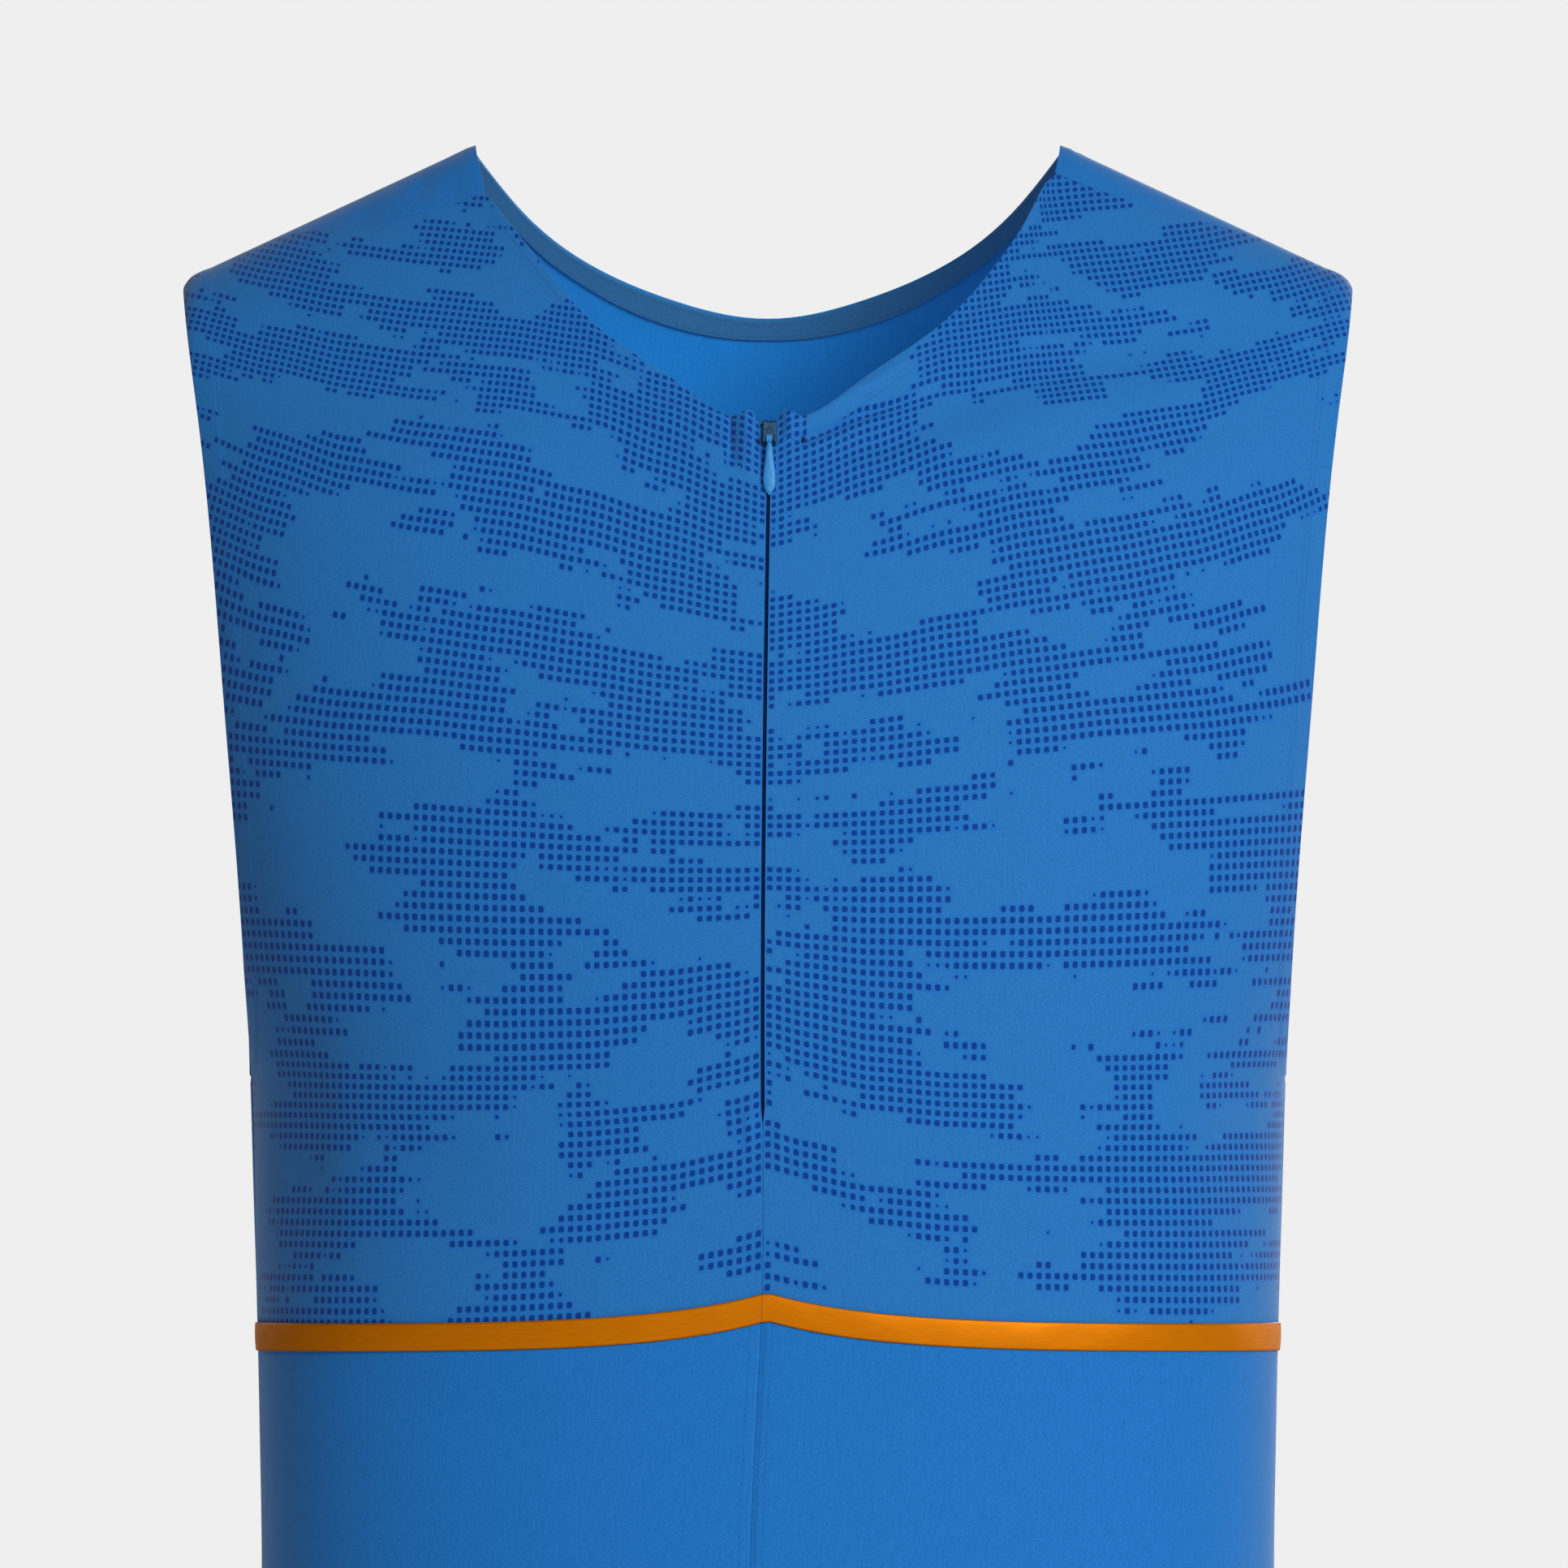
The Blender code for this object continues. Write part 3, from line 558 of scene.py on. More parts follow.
    def shoulder_seam(self, side: Side, x: Array) -> Array:
        """Where the forward shoulder seam lies.

        Args:
            side: the wearer's left or right.
            x: how far to either side.

        Returns:
            The walk from the ridge to the seam, in mm.
        """
        at_neck, crosses = {Side.LEFT: (24.2, 176.0), Side.RIGHT: (31.8, 173.5)}[side]
        share = np.maximum((np.abs(x) - self.neck_point_x) / (crosses - self.neck_point_x), 0)
        before = 1 - share**self.seam_curve
        after = np.exp(-self.seam_curve * np.maximum(share - 1, 0)) - 1
        return self.roll_length * at_neck / RIGHT_ANGLE * np.where(share < 1, before, after)

    def neckline(self, side: Side) -> Spline:
        """Height of the front neckline, up to the shoulder seam.

        Args:
            side: the wearer's left or right.

        Returns:
            The height over each x.
        """
        x = self.neck_share * self.shoulder_tip_x
        corner = float(self.ridge(x) - self.drop_after(self.shoulder_seam(side, x)))
        return Spline(*zip(*FRONT_NECKLINE, (x, corner)))


BODY = BodyForm()


def crease_depth(creases: tuple[Crease, ...], points: Array) -> Array:
    """How far creases draw the cloth in.

    Args:
        creases: the table of creases.
        points: places on the cloth.

    Returns:
        A depth for each, in mm.
    """
    total = np.zeros(points.shape[:-1])
    x, height = points[..., 0], points[..., 2]
    for crease in creases:
        run_x, run_z = crease.x1 - crease.x0, crease.z1 - crease.z0
        length = math.hypot(run_x, run_z)
        along = ((x - crease.x0) * run_x + (height - crease.z0) * run_z) / length**2
        aside = ((x - crease.x0) * run_z - (height - crease.z0) * run_x) / length
        fade = np.clip(1 - (2 * along - 1) ** 2, 0, 1) ** 1.5
        trough = crease.depth * fade * np.exp(-((aside / crease.half_width) ** 2))
        total += np.where(points[..., 1] * crease.face.value > 0, trough, 0)
    return total


def drawn_in(points: Array) -> Array:
    """How far all the creases draw the cloth in.

    Args:
        points: places on the cloth.

    Returns:
        A depth for each, in mm.
    """
    drag = crease_depth(DRAG_LINES, points)
    above = points - np.array((0.0, 0.0, 1.0)) * RIDGE_RISE
    return crease_depth(MAIN_FOLDS, points) + crease_depth(FINE_CREASES, points) + drag - (
        RIDGE_SHARE * crease_depth(DRAG_LINES, above)
    )


def run_along(points: Array, axis: int) -> Array:
    """Length walked over a grid of points.

    Args:
        points: the grid.
        axis: the grid's axis to walk along.

    Returns:
        The length from the axis's start to each point.
    """
    steps = np.linalg.norm(np.diff(points, axis=axis), axis=-1)
    start = np.zeros_like(np.take(steps, [0], axis=axis))
    return np.concatenate([start, np.cumsum(steps, axis=axis)], axis=axis)


def runs(points: Array) -> tuple[Array, Array]:
    """Lengths walked over a grid of points, across it and down it."""
    return run_along(points, 1), run_along(points, 0)


def stops(cells: int, fine_start: tuple[float, ...] = (), fine_end: tuple[float, ...] = ()) -> Array:
    """Grid lines from 0 to 1, evenly spaced but for closer ones at either end.

    Args:
        cells: how many even cells.
        fine_start: extra lines near 0.
        fine_end: extra lines near 1, given as distances from it.

    Returns:
        The lines in order.
    """
    even = np.linspace(0, 1, cells + 1)
    extra = [*fine_start, *(1 - share for share in fine_end)]
    return np.unique(np.concatenate([even, extra]))


def object_from(mesh: bmesh.types.BMesh, name: str) -> bpy.types.Object:
    """An object in the scene that takes over a finished mesh.

    Args:
        mesh: the mesh, which is freed.
        name: the object's name.

    Returns:
        The object.
    """
    data = bpy.data.meshes.new(name)
    mesh.to_mesh(data)
    mesh.free()
    piece = bpy.data.objects.new(name, data)
    bpy.context.scene.collection.objects.link(piece)
    return piece


@dataclass
class Cloth:
    """A grid of cloth that is ready for its wall.

    Attributes:
        points: places on the form, rows by columns by 3, in mm.
        normals: unit normals that point out of the cloth.
        print_at: where the print and knit stand, rows by columns by 2, in mm.
        edge_distance: mm from the nearest rounded edge.
        hem_distance: mm from the nearest stitched hem's edge.
        hem_run: mm along that edge.
        lift: mm that the outer side stands over the form.
        thickness: mm of the wall.
        keep: which cells there are, or None for all.
        print_bias: over 0 where the print is surely there and under 0 where it is left off, or None.
    """

    points: Array
    normals: Array
    print_at: Array
    edge_distance: Array
    hem_distance: Array
    hem_run: Array
    lift: Array
    thickness: float = 0.9
    keep: Array | None = None
    print_bias: Array | None = None

    def build(self, name: str) -> bpy.types.Object:
        """The closed wall as an object.

        Args:
            name: the piece's name.

        Returns:
            The object, with its print places and hem distances on it.
        """
        rows, columns = self.hem_distance.shape
        mesh = bmesh.new()
        bmesh.ops.create_grid(mesh, x_segments=columns - 1, y_segments=rows - 1, size=1)
        number = mesh.verts.layers.int.new("point_number")
        for vert in mesh.verts:
            column = round((vert.co.x + 1) / 2 * (columns - 1))
            row = round((vert.co.y + 1) / 2 * (rows - 1))
            vert[number] = row * columns + column
        if self.keep is not None:
            keep = self.keep.ravel()
            cells = (min(vert[number] for vert in cell.verts) for cell in mesh.faces)
            gone = [cell for cell, low in zip(mesh.faces, cells) if not keep[low]]
            bmesh.ops.delete(mesh, geom=gone, context="FACES")
        inside = mesh.verts.layers.int.new("inside")
        made = bmesh.ops.extrude_face_region(mesh, geom=mesh.faces[:], use_keep_orig=True)
        for part in made["geom"]:
            if isinstance(part, bmesh.types.BMVert):
                part[inside] = 1
        outer, inner = self.sides()
        for vert in mesh.verts:
            vert.co = (inner if vert[inside] else outer)[vert[number]]
        bmesh.ops.recalc_face_normals(mesh, faces=mesh.faces[:])
        for cell in mesh.faces:
            cell.material_index = int(all(vert[inside] for vert in cell.verts))
            cell.smooth = True
        piece = object_from(mesh, name)
        self.mark(piece.data)
        piece.data.set_sharp_from_angle(angle=math.radians(SHARP_ANGLE))
        return piece

    def sides(self) -> tuple[Array, Array]:
        """Points of the outer and the inner side, which meet in a round at hemmed edges.

        Returns:
            Both sides' points, in metres.
        """
        half = self.thickness / 2
        inward = np.clip(1 - self.edge_distance / half, 0, 1)
        round_off = half * (1 - np.sqrt(1 - inward**2 * EDGE_ROUND))
        outer = self.points + self.normals * (self.lift - round_off)[..., None]
        inner = self.points + self.normals * (self.lift - self.thickness + round_off)[..., None]
        return outer.reshape(-1, 3) * MM, inner.reshape(-1, 3) * MM

    def mark(self, data: bpy.types.Mesh) -> None:
        """Writes print places and hem distances on the mesh.

        Args:
            data: the wall's mesh, whose helper layers are then removed.
        """
        numbers = np.empty(len(data.vertices), np.int32)
        data.attributes["point_number"].data.foreach_get("value", numbers)
        bias = np.zeros(self.hem_distance.shape) if self.print_bias is None else self.print_bias
        layers = {"hem_distance": self.hem_distance, "hem_run": self.hem_run, "print_bias": bias}
        for name, values in layers.items():
            layer = data.attributes.new(name, "FLOAT", "POINT")
            layer.data.foreach_set("value", values.ravel()[numbers].astype(np.float32))
        corners = np.empty(len(data.loops), np.int32)
        data.loops.foreach_get("vertex_index", corners)
        flat = self.print_at.reshape(-1, 2)[numbers[corners]] * MM
        data.uv_layers.new(name="cloth").data.foreach_set("uv", flat.ravel().astype(np.float32))
        for name in ("point_number", "inside"):
            data.attributes.remove(data.attributes[name])


Surface = Callable[[Array, Array], Array]


def with_normals(surface: Surface, angle: Array, down: Array, step: float = 0.4) -> tuple[Array, Array]:
    """Points of a surface and their outward normals.

    Args:
        surface: turns angles and ways down into points.
        angle: across the cloth.
        down: along the cloth.
        step: how far apart the places are that a normal is taken from.

    Returns:
        Points and unit normals.
    """
    low = np.maximum(angle - step, -RIGHT_ANGLE)
    high = np.minimum(angle + step, RIGHT_ANGLE)
    here = surface(angle, down)
    normal = np.cross(
        surface(high, down) - surface(low, down),
        surface(angle, down + step) - surface(angle, down - step),
    )
    normal /= np.linalg.norm(normal, axis=-1, keepdims=True)
    outward = normal[..., 1] * np.sign(here[..., 1]) + normal[..., 0] * here[..., 0] / BODY.shoulder_tip_x
    if outward.mean() < 0:
        normal = -normal
    return here, normal


def hem_lift(distance: Array, width: float, height: float) -> Array:
    """How far a turned hem stands proud at each distance from its edge."""
    return height * (1 - eased((distance - width + HEM_STEP) / HEM_STEP))


def seam_groove(distance: Array) -> Array:
    """How far the cloth dips at each distance from a sewn seam."""
    return SEAM_DEPTH * np.exp(-((distance / STITCH_SPREAD) ** 2))


def stitch_pull(distance: Array, run: Array, row: float, depth: float, pitch: float) -> Array:
    """Soft dimples along a row of stitches.

    Args:
        distance: mm from the hemmed edge.
        run: mm along it.
        row: the row's distance from the edge.
        depth: how deep the stitches pull.
        pitch: mm from one gather to the next.

    Returns:
        A depth for each place.
    """
    beside = np.exp(-(((distance - row) / STITCH_SPREAD) ** 2))
    gathered = GATHERED_PULL * np.sin(run * 2 * np.pi / pitch) * np.sin(run / PULL_DRIFT + 1)
    return depth * beside * (EVEN_PULL + gathered)


def closer_at_ends(share: Array) -> Array:
    """Shares from 0 to 1 that crowd toward both."""
    return share - END_CROWDING * np.sin(2 * np.pi * share) / (2 * np.pi)


def side_edges(height: Array, from_side: Array) -> tuple[Array, Array]:
    """Distances from the armhole's edge and, under it, the side seam, each FAR where the other counts."""
    at_armhole = height > BODY.armhole_bottom + ARMHOLE_ROUND
    return np.where(at_armhole, from_side, FAR), np.where(at_armhole, FAR, from_side)


def upper_lift(points: Array, down: Array, arm: Array, side_seam: Array, neck_lift: Array) -> Array:
    """How far the upper body's cloth stands over the form.

    Args:
        points: places on the form.
        down: mm walked down the cloth.
        arm: mm from the armhole's edge.
        side_seam: mm from the side seam.
        neck_lift: how far the hem at the neck lifts it.

    Returns:
        The lift in mm.
    """
    pull = stitch_pull(arm, down, row=ARM_HEM - 1.2, depth=0.12, pitch=7.0)
    lift = hem_lift(arm, ARM_HEM, ARM_HEM_LIFT) + neck_lift
    return lift - pull - seam_groove(side_seam) - drawn_in(points)


class Graph:
    """Adds nodes to a tree and links them."""

    def __init__(self, tree: bpy.types.NodeTree) -> None:
        """Keeps the tree that nodes are added to."""
        self.tree = tree

    def add(self, kind: str, inputs: dict | None = None, **settings: object) -> bpy.types.Node:
        """A node of a kind.

        Args:
            kind: the node's Blender name.
            inputs: what its sockets take, by name or number: a socket or a value.
            settings: the node's own properties.

        Returns:
            The node.
        """
        node = self.tree.nodes.new(kind)
        for key, value in settings.items():
            setattr(node, key, value)
        self.feed_all(node, inputs or {})
        return node

    def feed(self, socket: Socket, value: Feed) -> None:
        """Links a socket, or sets its value.

        Args:
            socket: the input.
            value: an output to link, or a plain value.
        """
        if isinstance(value, bpy.types.NodeSocket):
            self.tree.links.new(value, socket)
        else:
            socket.default_value = value

    def feed_all(self, node: bpy.types.Node, inputs: dict) -> None:
        """Links or sets some of a node's sockets, by name or number."""
        for key, value in inputs.items():
            self.feed(node.inputs[key], value)

    def group(self, tree: bpy.types.NodeTree, inputs: dict) -> bpy.types.NodeOutputs:
        """The outputs of a node group that is placed with these inputs."""
        return self.add("ShaderNodeGroup", inputs, node_tree=tree).outputs

    def bump(self, height: Socket, strength: float, distance: float) -> Socket:
        """The normal of a Bump node."""
        inputs = {"Strength": strength, "Distance": distance, "Height": height}
        return self.add("ShaderNodeBump", inputs).outputs["Normal"]

    def math(self, operation: str, *values: Feed) -> Socket:
        """The result of a Math node."""
        return self.add("ShaderNodeMath", dict(enumerate(values)), operation=operation).outputs[0]

    def vector(self, operation: str, *values: Feed) -> Socket:
        """The vector result of a Vector Math node."""
        return self.add("ShaderNodeVectorMath", dict(enumerate(values)), operation=operation).outputs[0]

    def in_mm(self, place: Socket) -> Socket:
        """A flat place in mm."""
        return self.vector("MULTIPLY", place, (1000.0, 1000.0, 0.0))

    def noise(self, at: Socket, scale: float, detail: float = 2.0, roughness: float = 0.5) -> Socket:
        """The value of a Noise node."""
        inputs = {"Vector": at, "Scale": scale, "Detail": detail, "Roughness": roughness}
        return self.add("ShaderNodeTexNoise", inputs, noise_dimensions="2D").outputs["Fac"]

    def smooth(self, value: Socket, low: Feed, high: Feed) -> Socket:
        """A value eased from 0 at low to 1 at high."""
        inputs = {"Value": value, "From Min": low, "From Max": high}
        return self.add("ShaderNodeMapRange", inputs, interpolation_type="SMOOTHSTEP").outputs["Result"]

    def mix(self, factor: Feed, low: Feed, high: Feed) -> Socket:
        """A colour from low, where the factor is 0, to high, where it is 1."""
        inputs = {"Factor": factor, "A": low, "B": high}
        return self.add("ShaderNodeMix", inputs, data_type="RGBA").outputs["Result"]

    def attribute(self, name: str) -> Socket:
        """The value of one of the mesh's attributes."""
        return self.add("ShaderNodeAttribute", attribute_name=name).outputs["Fac"]


def new_material(name: str) -> tuple[bpy.types.Material, Graph, bpy.types.Node]:
    """A new material.

    Args:
        name: its name.

    Returns:
        The material, a Graph over its nodes and its Principled shader.
    """
    material = bpy.data.materials.new(name)
    material.use_nodes = True
    return material, Graph(material.node_tree), material.node_tree.nodes["Principled BSDF"]


def new_group(
    name: str, inputs: dict[str, str], outputs: dict[str, str]
) -> tuple[bpy.types.NodeTree, Graph, bpy.types.NodeOutputs, bpy.types.Node]:
    """A shader node group with named sockets.

    Args:
        name: the group's name.
        inputs: socket types by name.
        outputs: socket types by name.

    Returns:
        The group, a Graph over it, the group input's sockets and the group output node.
    """
    tree = bpy.data.node_groups.new(name, "ShaderNodeTree")
    for way, sockets in (("INPUT", inputs), ("OUTPUT", outputs)):
        for socket, kind in sockets.items():
            tree.interface.new_socket(name=socket, in_out=way, socket_type=kind)
    graph = Graph(tree)
    given = graph.add("NodeGroupInput").outputs
    return tree, graph, given, graph.add("NodeGroupOutput")


def named_floats(*names: str) -> dict[str, str]:
    """Float sockets of these names."""
    return dict.fromkeys(names, "NodeSocketFloat")


def knit_group() -> bpy.types.NodeTree:
    """Fine jersey: wales of small loops, with the grain of its heathered yarn.

    Returns:
        The group, whose place is in metres of cloth.
    """
    tree, graph, given, out = new_group(
        "jersey_knit",
        {"Place": "NodeSocketVector", **named_floats("Loops")},
        named_floats("Grain", "Height"),
    )
    scaled = graph.in_mm(given["Place"])
    parts = graph.add("ShaderNodeSeparateXYZ", {"Vector": scaled}).outputs
    turn = graph.math("MULTIPLY", given["Loops"], 2 * math.pi)
    wale = graph.math("SINE", graph.math("MULTIPLY", parts["X"], turn))
    lean = graph.math("MULTIPLY", graph.math("ABSOLUTE", wale), 0.8)
    course = graph.math("SINE", graph.math("ADD", graph.math("MULTIPLY", parts["Y"], turn), lean))
    loops = graph.math("MULTIPLY_ADD", graph.math("MULTIPLY", wale, course), 0.25, 0.5)
    fleck = graph.noise(scaled, 1.3, 2.0, 0.75)
    streaks = graph.vector("MULTIPLY", scaled, (0.7, 0.2, 0.0))
    streak = graph.noise(streaks, 1.0, 0.0, 0.5)
    grain = graph.math("ADD", graph.math("MULTIPLY", fleck, 0.85), graph.math("MULTIPLY", streak, 0.15))
    graph.feed_all(out, {"Grain": graph.smooth(grain, 0.32, 0.68), "Height": loops})
    return tree


def print_group() -> bpy.types.NodeTree:
    """Cloud camouflage printed as a halftone of rounded square dots.

    Returns:
        The group, whose pitch and place are those of the flat print.
    """
    tree, graph, given, out = new_group(
        "halftone_clouds",
        {"Place": "NodeSocketVector", "Pitch": "NodeSocketVector", **named_floats("Dot", "Bias")},
        named_floats("Mask", "Cloud"),
    )
    scaled = graph.in_mm(given["Place"])
    cells = graph.vector("DIVIDE", scaled, given["Pitch"])
    cell = graph.vector("ADD", graph.vector("FLOOR", cells), (0.5, 0.5, 0.0))
    middle = graph.vector("MULTIPLY", cell, given["Pitch"])
    clouds = graph.noise(graph.vector("MULTIPLY", middle, CLOUD_WAVES), 1.0, 1.0, 0.5)
    ragged = graph.noise(graph.vector("MULTIPLY", middle, RAGGED_WAVES), 1.0, 2.0, 0.6)
    field_at = graph.math("ADD", graph.math("MULTIPLY", clouds, 0.66), graph.math("MULTIPLY", ragged, 0.34))
    inside = graph.math("ADD", graph.math("SUBTRACT", field_at, CLOUD_LEVEL), given["Bias"])
    fullness = graph.smooth(inside, -0.004, 0.012)
    size = graph.math("MULTIPLY", given["Dot"], graph.math("MULTIPLY_ADD", fullness, 0.55, 0.45))
    local = graph.vector("ABSOLUTE", graph.vector("SUBTRACT", cells, cell))
    parts = graph.add("ShaderNodeSeparateXYZ", {"Vector": local}).outputs
    power = [graph.math("POWER", parts[axis], DOT_SQUARENESS) for axis in ("X", "Y")]
    reach = graph.math("POWER", graph.math("ADD", *power), 1 / DOT_SQUARENESS)
    edge = graph.smooth(reach, graph.math("ADD", size, 0.04), graph.math("SUBTRACT", size, 0.04))
    shown = graph.math("GREATER_THAN", inside, -0.003)
    graph.feed_all(out, {"Mask": graph.math("MULTIPLY", edge, shown), "Cloud": shown})
    return tree


def stitch_group() -> bpy.types.NodeTree:
    """A row of stitches at a distance from a hemmed edge.

    Returns:
        The group, whose inputs are all in mm.
    """
    tree, graph, given, out = new_group(
        "stitch_row",
        named_floats("From Edge", "Along", "Row", "Pitch", "Thread"),
        named_floats("Mask"),
    )
    beside = graph.math("ABSOLUTE", graph.math("SUBTRACT", given["From Edge"], given["Row"]))
    within = graph.smooth(beside, given["Thread"], graph.math("MULTIPLY", given["Thread"], 0.5))
    part = graph.math("FRACT", graph.math("DIVIDE", given["Along"], given["Pitch"]))
    off_middle = graph.math("ABSOLUTE", graph.math("SUBTRACT", part, 0.5))
    long = graph.smooth(off_middle, 0.44, 0.36)
    graph.feed(out.inputs["Mask"], graph.math("MULTIPLY", within, long))
    return tree


@dataclass
class Effects:
    """The node groups that several finishes share."""

    knit: bpy.types.NodeTree = field(default_factory=knit_group)
    dots: bpy.types.NodeTree = field(default_factory=print_group)
    stitch: bpy.types.NodeTree = field(default_factory=stitch_group)


Colour = tuple[float, float, float, float]


@dataclass(frozen=True)
class KnitFinish:
    """Stretch jersey, plain or printed."""

    name: str
    light: Colour = (0.020, 0.235, 0.710, 1.0)
    dark: Colour = (0.013, 0.195, 0.620, 1.0)
    navy: Colour = (0.0005, 0.050, 0.320, 1.0)
    under_print: Colour = (0.016, 0.190, 0.660, 1.0)
    thread: Colour = (0.02, 0.12, 0.42, 1.0)
    printed: bool = False
    hem_rows: tuple[float, ...] = ()
    pitch: tuple[float, float, float] = (3.25, 3.75, 1.0)
    dot: float = 0.298
    roughness: float = 0.7
    sheen: float = 0.3

    def material(self, effects: Effects) -> bpy.types.Material:
        """The finish as a material.

        Args:
            effects: the shared node groups.

        Returns:
            The material.
        """
        material, graph, shader = new_material(self.name)
        place = graph.add("ShaderNodeUVMap", uv_map="cloth").outputs["UV"]
        knit = graph.group(effects.knit, {"Place": place, "Loops": 1.9})
        colour = graph.mix(knit["Grain"], self.dark, self.light)
        height = knit["Height"]
        if self.printed:
            bias = graph.attribute("print_bias")
            dots = graph.group(
                effects.dots, {"Place": place, "Pitch": self.pitch, "Dot": self.dot, "Bias": bias}
            )
            under = graph.mix(graph.math("MULTIPLY", dots["Cloud"], 0.5), colour, self.under_print)
            colour = graph.mix(graph.math("MULTIPLY", dots["Mask"], 0.96), under, self.navy)
        for row in self.hem_rows:
            edge = {"From Edge": graph.attribute("hem_distance"), "Along": graph.attribute("hem_run")}
            mask = graph.group(effects.stitch, {**edge, "Row": row, "Pitch": 2.6, "Thread": 0.34})["Mask"]
            colour = graph.mix(graph.math("MULTIPLY", mask, 0.35), colour, self.thread)
            height = graph.math("ADD", height, graph.math("MULTIPLY", mask, 1.5))
        graph.feed_all(shader, {
            "Base Color": colour,
            "Normal": graph.bump(height, 0.22, 0.00012),
            "Roughness": self.roughness,
            "Sheen Weight": self.sheen,
            "Sheen Roughness": 0.45,
            "Sheen Tint": (0.85, 0.95, 1.0, 1.0),
            "Specular IOR Level": 0.08,
        })
        return material


@dataclass(frozen=True)
class SatinFinish:
    """Orange satin of the waist band, stitched along both edges."""

    name: str = "satin_band"
    bright: Colour = (0.94, 0.272, 0.0005, 1.0)
    deep: Colour = (0.85, 0.234, 0.0005, 1.0)
    stitched: Colour = (0.26, 0.07, 0.003, 1.0)

    def material(self) -> bpy.types.Material:
        """The finish as a material.

        Returns:
            The material.
        """
        material, graph, shader = new_material(self.name)
        place = graph.add("ShaderNodeUVMap", uv_map="cloth").outputs["UV"]
        along_band = graph.vector("MULTIPLY", graph.in_mm(place), (0.12, 3.2, 0.0))
        threads = graph.noise(along_band, 1.0, 2.0, 0.6)
        colour = graph.mix(graph.smooth(threads, 0.3, 0.7), self.deep, self.bright)
        fold = graph.smooth(graph.attribute("hem_distance"), 0.75, 0.35)
        graph.feed_all(shader, {
            "Base Color": graph.mix(graph.math("MULTIPLY", fold, 0.55), colour, self.stitched),
            "Normal": graph.bump(threads, 0.12, 0.00008),
            "Roughness": 0.44,
            "Metallic": 0.4,
            "Specular IOR Level": 0.1,
        })
        return material


@dataclass(frozen=True)
class HardFinish:
    """Metal or lacquer of the slider, coil and pull."""

    name: str
    colour: Colour
    worn: Colour
    roughness: float
    metallic: float
    specular: float = 0.4
    wear_scale: float = 900.0

    def material(self) -> bpy.types.Material:
        """The finish as a material.

        Returns:
            The material.
        """
        material, graph, shader = new_material(self.name)
        place = graph.add("ShaderNodeTexCoord").outputs["Object"]
        texture = {"Vector": place, "Scale": self.wear_scale, "Detail": 4.0}
        wear = graph.add("ShaderNodeTexNoise", texture).outputs["Fac"]
        shade = graph.smooth(wear, 0.42, 0.7)
        graph.feed_all(shader, {
            "Base Color": graph.mix(shade, self.colour, self.worn),
            "Roughness": graph.math("MULTIPLY_ADD", shade, 0.18, self.roughness),
            "Normal": graph.bump(wear, 0.12, 0.00005),
            "Metallic": self.metallic,
            "Specular IOR Level": self.specular,
        })
        return material


def dress(piece: bpy.types.Object, outside: bpy.types.Material, inside: bpy.types.Material) -> None:
    """Gives a cloth piece its outer and inner finish."""
    piece.data.materials.append(outside)
    piece.data.materials.append(inside)


def stand_for(piece: bpy.types.Object, node: str, body: str = "garment") -> None:
    """Puts a piece in a CAD node's place.

    Args:
        piece: the finished piece.
        node: the node it stands for.
        body: the body it rides on.
    """
    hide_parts(node)
    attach(piece, body)
    log.info("%s: %d faces", piece.name, len(piece.data.polygons))


